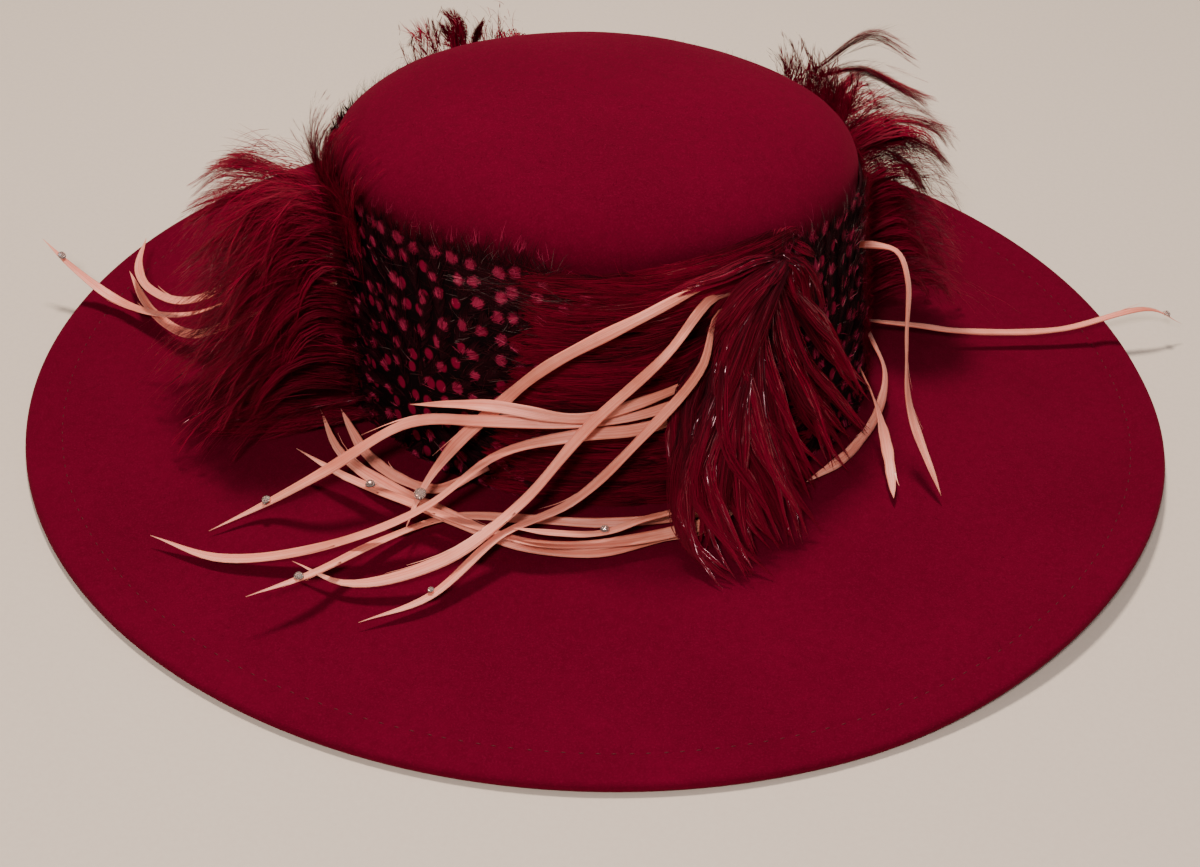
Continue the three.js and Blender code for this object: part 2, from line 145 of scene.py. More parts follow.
# %% One function makes every mesh
def make_piece(name, verts, faces, layers, materials, face_materials=None, smooth=True):
    """An object from vertices in mm, quads or triangles, and UV layers given per vertex."""
    mesh = bpy.data.meshes.new(name)
    corners = faces.shape[1]
    mesh.vertices.add(len(verts))
    mesh.vertices.foreach_set("co", (verts / 1000).astype(np.float32).ravel())
    mesh.loops.add(faces.size)
    mesh.loops.foreach_set("vertex_index", faces.ravel().astype(np.int32))
    mesh.polygons.add(len(faces))
    mesh.polygons.foreach_set("loop_start", np.arange(0, faces.size, corners, dtype=np.int32))
    mesh.polygons.foreach_set("loop_total", np.full(len(faces), corners, dtype=np.int32))
    mesh.polygons.foreach_set("use_smooth", np.full(len(faces), smooth))
    if face_materials is not None:
        mesh.polygons.foreach_set("material_index", face_materials.astype(np.int32))
    for layer_name, values in layers.items():
        layer = mesh.uv_layers.new(name=layer_name)
        layer.data.foreach_set("uv", values[faces.ravel()].astype(np.float32).ravel())
    mesh.update(calc_edges=True)
    mesh.validate()
    for material in materials:
        mesh.materials.append(material)
    piece = bpy.data.objects.new(name, mesh)
    bpy.context.scene.collection.objects.link(piece)
    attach(piece, "root")
    print(f"{name}: {len(faces)} faces")
    return piece


def join_parts(parts):
    """Several (verts, faces, uv, ...) tuples as one, with the faces renumbered."""
    start = 0
    shifted = []
    for verts, faces, *_ in parts:
        shifted.append(faces + start)
        start += len(verts)
    rest = [np.concatenate([part[k] for part in parts]) for k in range(2, len(parts[0]))]
    return (np.concatenate([part[0] for part in parts]), np.concatenate(shifted), *rest)


def grid_faces(rows, columns, wrap=False):
    """Quads between the points of a grid that is stored row by row."""
    last = columns if wrap else columns - 1
    row, column = np.meshgrid(np.arange(rows - 1), np.arange(last), indexing="ij")
    a = row * columns + column
    b = row * columns + (column + 1) % columns
    return np.stack([a, b, b + columns, a + columns], axis=-1).reshape(-1, 4)


def ribbons(paths, looks, widths, tones):
    """Thin flat strands: paths (n, k, 3), the way each one's flat side looks, and widths."""
    count, steps = paths.shape[:2]
    along = np.gradient(paths, axis=1)
    side = unit(np.cross(along, looks)) * widths[..., None] / 2
    verts = np.stack([paths - side, paths + side], axis=2).reshape(-1, 3)
    base = (np.arange(count)[:, None] * steps + np.arange(steps - 1)[None, :]) * 2
    faces = np.stack([base, base + 1, base + 3, base + 2], axis=-1).reshape(-1, 4)
    share = np.broadcast_to(np.linspace(0, 1, steps)[None, :, None], (count, steps, 2))
    tone = np.broadcast_to(tones[:, None, None], (count, steps, 2))
    uv = np.stack([tone, share], axis=-1).reshape(-1, 2)
    return verts, faces, uv


# %% [markdown]
# ## Colour and nodes
#
# Colours are picked in sRGB, as a painter sees them, but shaders add light, so they need linear
# values. One function does that for every hex colour. A second one adds a node, sets it and
# links it, so that each material below reads from top to bottom like a recipe.

# %% Helpers for materials
def linear(hex_colour):
    """An sRGB hex colour as linear RGBA."""
    values = [int(hex_colour[k:k + 2], 16) / 255 for k in (1, 3, 5)]
    return tuple(v / 12.92 if v <= 0.04045 else ((v + 0.055) / 1.055) ** 2.4 for v in values) + (1.0,)


def add_node(tree, kind, inputs=None, **settings):
    """A node with its settings; an input is a value, or the socket that feeds it."""
    made = tree.nodes.new(kind)
    for name, value in settings.items():
        setattr(made, name, value)
    for key, value in (inputs or {}).items():
        if isinstance(value, bpy.types.NodeSocket):
            tree.links.new(value, made.inputs[key])
        else:
            made.inputs[key].default_value = value
    return made


def new_material(name):
    """An empty material: its node tree, and the output node that the shader goes into."""
    material = bpy.data.materials.new(name)
    material.use_nodes = True
    material.node_tree.nodes.clear()
    output = material.node_tree.nodes.new("ShaderNodeOutputMaterial")
    return material, material.node_tree, output


COLOUR_A, COLOUR_B, COLOUR_OUT = 6, 7, 2  # sockets of the Mix node in its colour mode
MM = 1000.0  # one millimetre as a texture scale, because the meshes are in metres

# %% [markdown]
# ## Wool felt
#
# Felt is wool fibre matted with steam and pressure. It has no weave. Close up it is a mat of
# short curled fibres about 0.03 mm thick, which takes the dye a little unevenly, and the nap
# that stands up from it catches light at grazing angles. So the material has three layers of
# noise: slow blotches in the dye, clumps of fibre a few millimetres wide and a fine grain.
# A real fibre is too thin to show in a render, so the grain is drawn at 0.7 mm. Sheen gives
# the nap its soft rim. Rough wool reflects almost nothing directly, so roughness is near one.

# %% Material: blocked and dyed wool felt
felt_material, tree, output = new_material("wool_felt_blocked")
place = add_node(tree, "ShaderNodeTexCoord")
blotch = add_node(tree, "ShaderNodeTexNoise", {"Vector": place.outputs["Object"], "Scale": MM / 55,
                                               "Detail": 3.0})
clump = add_node(tree, "ShaderNodeTexNoise", {"Vector": place.outputs["Object"], "Scale": MM / 3.2,
                                              "Detail": 5.0, "Roughness": 0.65})
grain = add_node(tree, "ShaderNodeTexNoise", {"Vector": place.outputs["Object"], "Scale": MM / 0.7,
                                              "Detail": 3.0, "Roughness": 0.7})
dye = add_node(tree, "ShaderNodeMix", {0: blotch.outputs["Fac"], COLOUR_A: linear("#4F0318"),
                                       COLOUR_B: linear("#600520")}, data_type="RGBA")
clump_share = add_node(tree, "ShaderNodeMapRange", {"Value": clump.outputs["Fac"], "From Min": 0.42,
                                                    "From Max": 0.72, "To Max": 0.35})
matted = add_node(tree, "ShaderNodeMix", {0: clump_share.outputs["Result"], COLOUR_A: dye.outputs[COLOUR_OUT],
                                          COLOUR_B: linear("#420312")}, data_type="RGBA")
grain_share = add_node(tree, "ShaderNodeMapRange", {"Value": grain.outputs["Fac"], "From Min": 0.5,
                                                    "From Max": 0.78, "To Max": 0.5})
fibrous = add_node(tree, "ShaderNodeMix", {0: grain_share.outputs["Result"],
                                           COLOUR_A: matted.outputs[COLOUR_OUT],
                                           COLOUR_B: linear("#760F2F")}, data_type="RGBA")
clump_bump = add_node(tree, "ShaderNodeBump", {"Height": clump.outputs["Fac"], "Strength": 0.22,
                                               "Distance": 0.0006})
grain_bump = add_node(tree, "ShaderNodeBump", {"Height": grain.outputs["Fac"], "Strength": 0.45,
                                               "Distance": 0.0002, "Normal": clump_bump.outputs["Normal"]})
shader = add_node(tree, "ShaderNodeBsdfPrincipled", {
    "Base Color": fibrous.outputs[COLOUR_OUT], "Roughness": 0.95, "IOR": 1.5, "Specular IOR Level": 0.04,
    "Sheen Weight": 0.12, "Sheen Roughness": 0.5, "Sheen Tint": linear("#C02C50"),
    "Normal": grain_bump.outputs["Normal"]})
tree.links.new(shader.outputs["BSDF"], output.inputs["Surface"])
print(felt_material.name, len(tree.nodes), "nodes")

# %% [markdown]
# ## Dyed hackle barbs
#
# Hackles are the long neck feathers of a cockerel. Their barbs are smooth keratin, like hair,
# with an IOR of about 1.55. Seen as a mass they are matt, because light is swallowed between
# the strands, and only those that happen to face a lamp throw a thin bright streak. One shader
# for both would turn the whole mass grey, so there are two finishes, and each strand gets one
# of them. The first UV value is the strand's tone: it picks a depth of dye, and from 0.8
# upwards it means a glossy strand. Strands are darker at their roots, where no light gets in.
# A glossy strand also has slow kinks along it, so that it glints in short dashes. They are bump,
# because strands that bend that often would need many more faces.

# %% Materials: dyed hackle barbs, matt and glossy
GLOSS_FROM = 0.8


def barb_material(name, dark, light, tip, rough, shine, tones=(0.0, 1.0), kinks=0.0):
    """Keratin strands whose dye runs from dark to light over their range of tones."""
    material, tree, output = new_material(name)
    strand = add_node(tree, "ShaderNodeUVMap", uv_map="strand")
    split = add_node(tree, "ShaderNodeSeparateXYZ", {"Vector": strand.outputs["UV"]})
    share = add_node(tree, "ShaderNodeMapRange", {"Value": split.outputs["X"], "From Min": tones[0],
                                                  "From Max": tones[1]})
    depth = add_node(tree, "ShaderNodeMix", {0: share.outputs["Result"], COLOUR_A: linear(dark),
                                             COLOUR_B: linear(light)}, data_type="RGBA")
    tip_share = add_node(tree, "ShaderNodeMapRange", {"Value": split.outputs["Y"], "From Min": 0.2,
                                                      "From Max": 1.0, "To Max": 0.4})
    tipped = add_node(tree, "ShaderNodeMix", {0: tip_share.outputs["Result"],
                                              COLOUR_A: depth.outputs[COLOUR_OUT],
                                              COLOUR_B: linear(tip)}, data_type="RGBA")
    # painted shade: each strand darkens towards its root, where the mass keeps the light out
    root_shade = add_node(tree, "ShaderNodeMapRange", {"Value": split.outputs["Y"], "From Max": 0.3,
                                                       "To Min": 0.65, "To Max": 0.0})
    root_shaded = add_node(tree, "ShaderNodeMix", {0: root_shade.outputs["Result"],
                                              COLOUR_A: tipped.outputs[COLOUR_OUT],
                                              COLOUR_B: linear(dark)}, data_type="RGBA")
    streak = add_node(tree, "ShaderNodeMapRange", {"Value": share.outputs["Result"], "To Min": rough[0],
                                                   "To Max": rough[1]})
    shader = add_node(tree, "ShaderNodeBsdfPrincipled", {
        "Base Color": root_shaded.outputs[COLOUR_OUT], "Roughness": streak.outputs["Result"], "IOR": 1.55,
        "Specular IOR Level": shine})
    if kinks:
        # the first number sets each strand apart, and the second gives about four kinks along it
        stretched = add_node(tree, "ShaderNodeMapping", {"Vector": strand.outputs["UV"],
                                                         "Scale": (900.0, 3.6, 1.0)})
        waves = add_node(tree, "ShaderNodeTexNoise", {"Vector": stretched.outputs["Vector"], "Scale": 1.0,
                                                      "Detail": 0.0})
        kinked = add_node(tree, "ShaderNodeBump", {"Height": waves.outputs["Fac"], "Distance": kinks})
        tree.links.new(kinked.outputs["Normal"], shader.inputs["Normal"])
        shader.inputs["Specular Tint"].default_value = linear("#FFCCDA")
    tree.links.new(shader.outputs["BSDF"], output.inputs["Surface"])
    print(name, len(tree.nodes), "nodes")
    return material


hackle_matt = barb_material("keratin_hackle_dyed_matt", "#24020A", "#AE0A38", "#8E072A", (0.7, 0.5), 0.06)
hackle_glossy = barb_material("keratin_hackle_dyed_glossy", "#26020A", "#A80A32", "#840826", (0.26, 0.16),
                              0.6, tones=(GLOSS_FROM, 1.0), kinks=0.011)

# %% [markdown]
# ## Spotted guinea barbs
#
# A guinea fowl's body feather is near black with round white spots in rows. The dye bath leaves
# the black alone and turns the spots crimson. On the real feather a spot is not printed on one
# face: each barb is coloured along part of its length, and barbs side by side make up the dot.
# We do the same. Every barb carries its place on the crown's wall in a UV layer, and one cell
# pattern with 7.6 mm between spots colours all of them, so the dots get the ragged edges that
# barbs give. The cells are squeezed, because the spots are taller than they are wide. Like the
# hackle, the barbs are matt but for a few that glint.

# %% Materials: dyed guinea barbs, matt and glossy
SPOT_SPACING = 7.6
WALL_UV = 100.0  # millimetres of wall in one unit of the wall UV


def guinea_material(name, rough, shine):
    """Black barbs with crimson spots, placed by the wall UV."""
    material, tree, output = new_material(name)
    strand = add_node(tree, "ShaderNodeUVMap", uv_map="strand")
    split = add_node(tree, "ShaderNodeSeparateXYZ", {"Vector": strand.outputs["UV"]})
    wall = add_node(tree, "ShaderNodeUVMap", uv_map="wall")
    squeezed = add_node(tree, "ShaderNodeMapping", {"Vector": wall.outputs["UV"], "Scale": (1.0, 0.8, 1.0)})
    cells = add_node(tree, "ShaderNodeTexVoronoi", {"Vector": squeezed.outputs["Vector"],
                                                    "Scale": WALL_UV / SPOT_SPACING, "Randomness": 0.55},
                     voronoi_dimensions="2D")
    size_noise = add_node(tree, "ShaderNodeTexNoise", {"Vector": wall.outputs["UV"], "Scale": 9.0})
    edge = add_node(tree, "ShaderNodeMapRange", {"Value": size_noise.outputs["Fac"], "From Min": 0.3,
                                                 "From Max": 0.7, "To Min": 0.2, "To Max": 0.32})
    inside = add_node(tree, "ShaderNodeMath", {0: edge.outputs["Result"], 1: cells.outputs["Distance"]},
                      operation="SUBTRACT")
    spot = add_node(tree, "ShaderNodeMapRange", {"Value": inside.outputs["Value"], "From Min": -0.03,
                                                 "From Max": 0.05})
    black = add_node(tree, "ShaderNodeMix", {0: split.outputs["X"], COLOUR_A: linear("#0E0406"),
                                             COLOUR_B: linear("#3A0E1A")}, data_type="RGBA")
    crimson = add_node(tree, "ShaderNodeMix", {0: split.outputs["X"], COLOUR_A: linear("#7A0C2E"),
                                               COLOUR_B: linear("#C23A62")}, data_type="RGBA")
    coloured = add_node(tree, "ShaderNodeMix", {0: spot.outputs["Result"],
                                                COLOUR_A: black.outputs[COLOUR_OUT],
                                                COLOUR_B: crimson.outputs[COLOUR_OUT]}, data_type="RGBA")
    streak = add_node(tree, "ShaderNodeMapRange", {"Value": split.outputs["X"], "To Min": rough[0],
                                                   "To Max": rough[1]})
    shader = add_node(tree, "ShaderNodeBsdfPrincipled", {
        "Base Color": coloured.outputs[COLOUR_OUT], "Roughness": streak.outputs["Result"], "IOR": 1.55,
        "Specular IOR Level": shine})
    tree.links.new(shader.outputs["BSDF"], output.inputs["Surface"])
    print(name, len(tree.nodes), "nodes")
    return material


guinea_matt = guinea_material("keratin_guinea_spotted_matt", (0.75, 0.6), 0.05)
guinea_glossy = guinea_material("keratin_guinea_spotted_glossy", (0.28, 0.12), 0.5)

# %% [markdown]
# ## Dyed quill blades
#
# The blades are stripped goose quills. What is left of the vane is a stiff rib along one edge
# and a satin strip of barbs that stick together, so the surface has fine lines that run along
# it. The first UV value goes across the blade and the second along it. The noise is stretched to
# about fourteen lines across a blade 4 to 6 mm wide, which is one in 0.35 mm: the real ones are
# finer, but wouldn't show. The root, which sits in among the feathers of the band, is painted much
# darker as shade, and dye runs in a few streaks of a browner peach.

# %% Material: dyed quill
quill_material, tree, output = new_material("keratin_quill_dyed")
strand = add_node(tree, "ShaderNodeUVMap", uv_map="strand")
split = add_node(tree, "ShaderNodeSeparateXYZ", {"Vector": strand.outputs["UV"]})
stretched = add_node(tree, "ShaderNodeMapping", {"Vector": strand.outputs["UV"], "Scale": (14.0, 1.6, 1.0)})
noise_lines = add_node(tree, "ShaderNodeTexNoise", {"Vector": stretched.outputs["Vector"], "Scale": 1.0,
                                                    "Detail": 4.0, "Roughness": 0.6})
lines = add_node(tree, "ShaderNodeMapRange", {"Value": noise_lines.outputs["Fac"], "From Min": 0.28,
                                              "From Max": 0.68})
place = add_node(tree, "ShaderNodeTexCoord")
stain = add_node(tree, "ShaderNodeTexNoise", {"Vector": place.outputs["Object"], "Scale": MM / 28,
                                              "Detail": 3.0})
stain_share = add_node(tree, "ShaderNodeMapRange", {"Value": stain.outputs["Fac"], "From Min": 0.5,
                                                    "From Max": 0.75, "To Max": 0.75})
# painted shade: the blade turns almost dark brown at its root, in among the feathers
root_shade = add_node(tree, "ShaderNodeMapRange", {"Value": split.outputs["Y"], "From Min": 0.03,
                                                   "From Max": 0.08, "To Min": 0.9, "To Max": 0.0})
streaked = add_node(tree, "ShaderNodeMix", {0: lines.outputs["Result"], COLOUR_A: linear("#DC5E48"),
                                            COLOUR_B: linear("#FFA894")}, data_type="RGBA")
stained = add_node(tree, "ShaderNodeMix", {0: stain_share.outputs["Result"],
                                           COLOUR_A: streaked.outputs[COLOUR_OUT],
                                           COLOUR_B: linear("#B8583E")}, data_type="RGBA")
root_shaded = add_node(tree, "ShaderNodeMix", {0: root_shade.outputs["Result"],
                                          COLOUR_A: stained.outputs[COLOUR_OUT],
                                          COLOUR_B: linear("#6A2018")}, data_type="RGBA")
line_bump = add_node(tree, "ShaderNodeBump", {"Height": noise_lines.outputs["Fac"], "Strength": 0.5,
                                              "Distance": 0.0003})
shader = add_node(tree, "ShaderNodeBsdfPrincipled", {
    "Base Color": root_shaded.outputs[COLOUR_OUT], "Roughness": 0.44, "IOR": 1.55, "Specular IOR Level": 0.5,
    "Subsurface Weight": 0.12, "Subsurface Radius": (0.004, 0.0015, 0.001), "Subsurface Scale": 0.3,
    "Sheen Weight": 0.1, "Sheen Roughness": 0.4, "Normal": line_bump.outputs["Normal"]})
tree.links.new(shader.outputs["BSDF"], output.inputs["Surface"])
print(quill_material.name, len(tree.nodes), "nodes")

# %% [markdown]
# ## Small finishes
#
# A rhinestone is lead-free crystal with an IOR near 1.6, cut and polished, with a silver foil
# fired on its back that sends the light out again through the facets. Sewing thread is spun
# polyester, twisted, and the fine light and dark bands that run round it are painted light and
# shade of the twist. The floor is plain matt paper.

# %% Materials: crystal, foil, thread and paper
crystal_material, tree, output = new_material("crystal_cut_polished")
place = add_node(tree, "ShaderNodeTexCoord")
polish = add_node(tree, "ShaderNodeTexNoise", {"Vector": place.outputs["Object"], "Scale": MM / 0.8})
wear = add_node(tree, "ShaderNodeMapRange", {"Value": polish.outputs["Fac"], "To Min": 0.01, "To Max": 0.06})
shader = add_node(tree, "ShaderNodeBsdfPrincipled", {
    "Base Color": linear("#FFEEE8"), "Roughness": wear.outputs["Result"], "IOR": 1.6,
    "Transmission Weight": 0.9})
tree.links.new(shader.outputs["BSDF"], output.inputs["Surface"])

foil_material, tree, output = new_material("silver_foil_fired")
place = add_node(tree, "ShaderNodeTexCoord")
mottle = add_node(tree, "ShaderNodeTexNoise", {"Vector": place.outputs["Object"], "Scale": MM / 0.5})
haze = add_node(tree, "ShaderNodeMapRange", {"Value": mottle.outputs["Fac"], "To Min": 0.02, "To Max": 0.14})
shader = add_node(tree, "ShaderNodeBsdfPrincipled", {
    "Base Color": linear("#FFE4DA"), "Metallic": 1.0, "Roughness": haze.outputs["Result"]})
tree.links.new(shader.outputs["BSDF"], output.inputs["Surface"])

thread_material, tree, output = new_material("polyester_thread_spun")
strand = add_node(tree, "ShaderNodeUVMap", uv_map="strand")
# painted light and shade: diagonal bands stand in for the lit and shaded plies of the twist
twist = add_node(tree, "ShaderNodeTexWave", {"Vector": strand.outputs["UV"], "Scale": 6.0, "Distortion": 1.0},
                 bands_direction="DIAGONAL")
twist_shading = add_node(tree, "ShaderNodeMix", {0: twist.outputs["Fac"], COLOUR_A: linear("#34040F"),
                                       COLOUR_B: linear("#660C22")}, data_type="RGBA")
shader = add_node(tree, "ShaderNodeBsdfPrincipled", {
    "Base Color": twist_shading.outputs[COLOUR_OUT], "Roughness": 0.6, "IOR": 1.55, "Specular IOR Level": 0.15})
tree.links.new(shader.outputs["BSDF"], output.inputs["Surface"])

paper_material, tree, output = new_material("paper_matt")
place = add_node(tree, "ShaderNodeTexCoord")
tooth = add_node(tree, "ShaderNodeTexNoise", {"Vector": place.outputs["Object"], "Scale": MM / 2.0,
                                              "Detail": 4.0})
sheet = add_node(tree, "ShaderNodeMix", {0: tooth.outputs["Fac"], COLOUR_A: linear("#CFC0B3"),
                                         COLOUR_B: linear("#D8CABD")}, data_type="RGBA")
shader = add_node(tree, "ShaderNodeBsdfPrincipled", {
    "Base Color": sheet.outputs[COLOUR_OUT], "Roughness": 0.9, "Specular IOR Level": 0.2})
tree.links.new(shader.outputs["BSDF"], output.inputs["Surface"])
print("small finishes ready")

# %% [markdown]
# ## The felt body
#
# The whole shell is one surface of rings: from the middle of the crown's top, over the shoulder
# and down the wall, out along the brim, round the folded edge, back along the underside and up
# inside the crown to its top again. A subdivided primitive would need much pushing to get
# there, while rings follow the block's own rules. The rings lie close together where the felt
# turns sharply: at the shoulder, at the stitched row and round the fold of the edge.
#
# Blocked felt is never quite even, so a slow noise lifts and lowers the brim by half a
# millimetre and moves the crown's wall a little. It fades out where the edge rests.

# %% Unevenness that the hand feels
def slow_noise(place_mm, wavelength, seed):
    """Smooth noise from about -1 to 1 at an array of places."""
    flat = place_mm.reshape(-1, 3) / wavelength
    values = [noise.noise(Vector((p[0] + seed, p[1] - seed, p[2]))) for p in flat]
    return np.array(values).reshape(place_mm.shape[:-1])


STITCH_OUT = BRIM_WIDTH - 14.0  # the stitched row is 14 mm in from the edge


def uneven(ring_points, out=None):
    """The blocked shape with its unevenness: out is given for the brim's rings."""
    if out is None:
        swell = 0.7 * slow_noise(ring_points, 48.0, 3.1) + 0.25 * slow_noise(ring_points, 15.0, 8.4)
        outwards = unit(ring_points * np.array([1.0, 1.0, 0.15]))
        return ring_points + outwards * swell[..., None]
    fade = np.clip(out / 20.0, 0, 1) * np.clip((BRIM_WIDTH - 18.0 - out) / 25.0, 0, 1)
    lift = 1.1 * slow_noise(ring_points, 70.0, 5.5) + 0.3 * slow_noise(ring_points, 22.0, 1.7)
    return ring_points + points(0.0, 0.0, lift * fade)


# %% Rings of the felt
RING = 216
FOLD_RADIUS = 2.2
ring_around = np.arange(RING) * 360.0 / RING


def brim_ring(out, drop):
    """A ring of the brim, drop below its top face."""
    return uneven(on_hat(ring_around, out, -drop), out)


def crown_ring(up, inset=0.0):
    """A ring of the crown. inset is the felt's thickness for the inner face."""
    return uneven(crown_point(ring_around, up, 0.0, inset))


def dome_ring(angle, inset=0.0):
    """A ring of the dome, at an angle that is 90 degrees at the top."""
    rise = math.sin(math.radians(angle)) ** (2 / DOME_POWER)
    return crown_ring(WALL_HEIGHT + (DOME_HEIGHT - inset) * rise, inset)


rings = [dome_ring(angle) for angle in np.linspace(88.5, 4, 26)]
rings += [crown_ring(up) for up in np.linspace(WALL_HEIGHT, 0.0, 16)]
for out in np.concatenate([np.linspace(3, 108, 30), np.linspace(110.2, BRIM_WIDTH - 2.4, 14)]):
    dent = 0.55 * math.exp(-((out - STITCH_OUT) / 0.9) ** 2)
    puff = 0.35 * math.exp(-((out - STITCH_OUT - 6.5) / 4.0) ** 2)
    rings.append(brim_ring(out, dent - puff))
for turn in np.radians(np.linspace(12, 168, 10)):
    out = BRIM_WIDTH - FOLD_RADIUS * (1 - math.sin(turn))
    rings.append(brim_ring(out, HEM_THICKNESS / 2 * (1 - math.cos(turn))))
rings += [brim_ring(out, HEM_THICKNESS) for out in np.linspace(BRIM_WIDTH - 3.5, BRIM_WIDTH - HEM_WIDTH, 6)]
rings.append(brim_ring(BRIM_WIDTH - HEM_WIDTH - 0.3, HEM_THICKNESS - 0.8))
rings.append(brim_ring(BRIM_WIDTH - HEM_WIDTH - 0.6, FELT))
rings += [brim_ring(out, FELT) for out in np.linspace(106, 3, 12)]
rings += [crown_ring(up, FELT) for up in [-FELT, *np.linspace(4, WALL_HEIGHT, 7)]]
rings += [dome_ring(angle, FELT) for angle in np.linspace(8, 88.5, 11)]
print(len(rings), "rings")

# %% The felt as one closed mesh
shell = np.concatenate(rings)
shell_faces = grid_faces(len(rings), RING, wrap=True)[:, ::-1]
caps = []
for first, flip in ((0, False), ((len(rings) - 1) * RING, True)):
    middle = len(shell)
    shell = np.concatenate([shell, shell[first:first + RING].mean(axis=0, keepdims=True)])
    here = first + np.arange(0, RING, 2)
    quads = np.stack([np.full(RING // 2, middle), here, here + 1, first + (here - first + 2) % RING], axis=-1)
    caps.append(quads[:, ::-1] if flip else quads)
shell_faces = np.concatenate([shell_faces, *caps])
felt_uv = {"strand": np.zeros((len(shell), 2))}
felt_hat = make_piece("felt_hat", shell, shell_faces, felt_uv, [felt_material])
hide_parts("felt_hat_body")

# %% [markdown]
# ## Stitches of the hem
#
# The edge is turned under and held by one row of machine stitches, a short dash every 5.5 mm.
# They are sunk into the soft felt. Each dash is a small capsule, and one array operation places
# the same capsule some two hundred times round the brim, above and below.

# %% A capsule, copied along the row
STITCH_PITCH = 5.5
STITCH_LENGTH = 2.1
STITCH_RADIUS = 0.3


def capsule(length, radius, sides=6):
    """A short thread with round ends, along x: vertices, quads and a UV that runs along it."""
    shares = np.array([0.0, 0.14, 0.5, 0.86, 1.0])
    sizes = np.array([0.25, 0.85, 1.0, 0.85, 0.25]) * radius
    turn = np.arange(sides) * 2 * np.pi / sides
    shares, sizes = shares[:, None], sizes[:, None]
    verts = points((shares - 0.5) * length, sizes * np.cos(turn), sizes * np.sin(turn))
    verts[..., 2] += radius * 0.9 * (1 - (2 * shares - 1) ** 4)  # the ends dive into the felt
    uv = np.stack(np.broadcast_arrays(shares, turn[None, :] / 6.3), axis=-1)
    faces = grid_faces(len(shares), sides, wrap=True)
    ends = np.array([[0, 1, 2, 3], [0, 3, 4, 5]])
    last = (len(shares) - 1) * sides
    return verts.reshape(-1, 3), np.concatenate([faces, ends, last + ends[:, ::-1]]), uv.reshape(-1, 2)


row_radii = FOOT["left"] + STITCH_OUT, FOOT["front"] + STITCH_OUT
stitch_count = int(2 * math.pi * math.hypot(*row_radii) / math.sqrt(2) / STITCH_PITCH)
slips = np.random.default_rng(11).uniform(-0.08, 0.08, stitch_count)
stitch_around = (np.arange(stitch_count) + slips) * 360 / stitch_count
stitch_parts = []
for under in (False, True):
    rise = -HEM_THICKNESS + 0.55 if under else -0.62
    here = on_hat(stitch_around, STITCH_OUT, rise)
    ahead = on_hat(stitch_around + 0.5, STITCH_OUT, rise)
    along = unit(ahead - here)
    up = points(0.0, 0.0, np.full(stitch_count, -1.0 if under else 1.0))
    across = np.cross(up, along)
    dash, dash_faces, dash_uv = capsule(STITCH_LENGTH, STITCH_RADIUS)
    placed = (here[:, None] + along[:, None] * dash[None, :, :1] + across[:, None] * dash[None, :, 1:2]
              + up[:, None] * dash[None, :, 2:])
    faces = dash_faces[None] + (np.arange(stitch_count) * len(dash))[:, None, None]
    stitch_parts.append((placed.reshape(-1, 3), faces.reshape(-1, 4), np.tile(dash_uv, (stitch_count, 1))))
verts, faces, uv = join_parts(stitch_parts)
make_piece("hem_stitching", verts, faces, {"strand": uv}, [thread_material])
print(stitch_count, "stitches in each row")

# %% [markdown]
# ## Nap
#
# Single fibres stand up from felt and soften its outline. They are far too many to model, so
# only a thin scatter is made: short curved hairs on the crown's top and on the brim, each a
# ribbon of two faces. They share the felt's material, so they read as part of it.

# %% Loose fibres on the felt
nap_random = np.random.default_rng(23)


def nap(count, on_crown):
    """Short hairs over the crown or over the brim."""
    around = nap_random.uniform(0, 360, count)
    if on_crown:
        up = WALL_HEIGHT + DOME_HEIGHT * np.sqrt(nap_random.uniform(0, 0.998, count))
        root = crown_point(around, up)
        normal = unit(root - np.array([0.0, 0.0, 40.0]))
    else:
        out = nap_random.uniform(6, BRIM_WIDTH - 0.5, count)
        root = uneven(on_hat(around, out, -0.05), out)
        normal = points(0.0, 0.0, np.ones(count))
    drift = unit(np.cross(normal, nap_random.normal(size=(count, 3))))
    length = nap_random.uniform(0.9, 2.6, count)[:, None]
    lift = nap_random.uniform(0.12, 0.45, count)[:, None]
    middle = root + drift * length * 0.5 + normal * lift
    tip = root + drift * length + normal * lift * nap_random.uniform(0.2, 1.8, count)[:, None]
    paths = np.stack([root, middle, tip], axis=1)
    looks = np.repeat(normal[:, None], 3, axis=1)
    widths = np.broadcast_to(np.array([0.07, 0.06, 0.02]), (count, 3))
    return ribbons(paths, looks, widths, nap_random.uniform(0, 1, count))


verts, faces, uv = join_parts([nap(1500, True), nap(3000, False)])
make_piece("felt_nap", verts, faces, {"strand": uv}, [felt_material])

# %% [markdown]
# ## Curves through a few places
#
# Locks of feather and quill blades are drawn like a milliner bends wire: a few places fix the
# line and the rest follows. The centripetal Catmull-Rom curve passes through its places without
# looping, even where they lie close together. The result is cut into equal steps.

# %% Smooth lines
def centripetal(knots, per_span=24):
    """A centripetal Catmull-Rom curve through the knots, as many points."""
    full = np.concatenate([[2 * knots[0] - knots[1]], knots, [2 * knots[-1] - knots[-2]]])
    made = []
    for p0, p1, p2, p3 in zip(full[:-3], full[1:-2], full[2:-1], full[3:]):
        d0, d1, d2 = (max(np.linalg.norm(b - a) ** 0.5, 1e-4) for a, b in ((p0, p1), (p1, p2), (p2, p3)))
        m1 = ((p1 - p0) / d0 - (p2 - p0) / (d0 + d1) + (p2 - p1) / d1) * d1
        m2 = ((p2 - p1) / d1 - (p3 - p1) / (d1 + d2) + (p3 - p2) / d2) * d1
        t = np.linspace(0, 1, per_span, endpoint=False)[:, None]
        made.append((2 * t**3 - 3 * t**2 + 1) * p1 + (t**3 - 2 * t**2 + t) * m1
                    + (3 * t**2 - 2 * t**3) * p2 + (t**3 - t**2) * m2)
    return np.concatenate([*made, knots[-1:]])


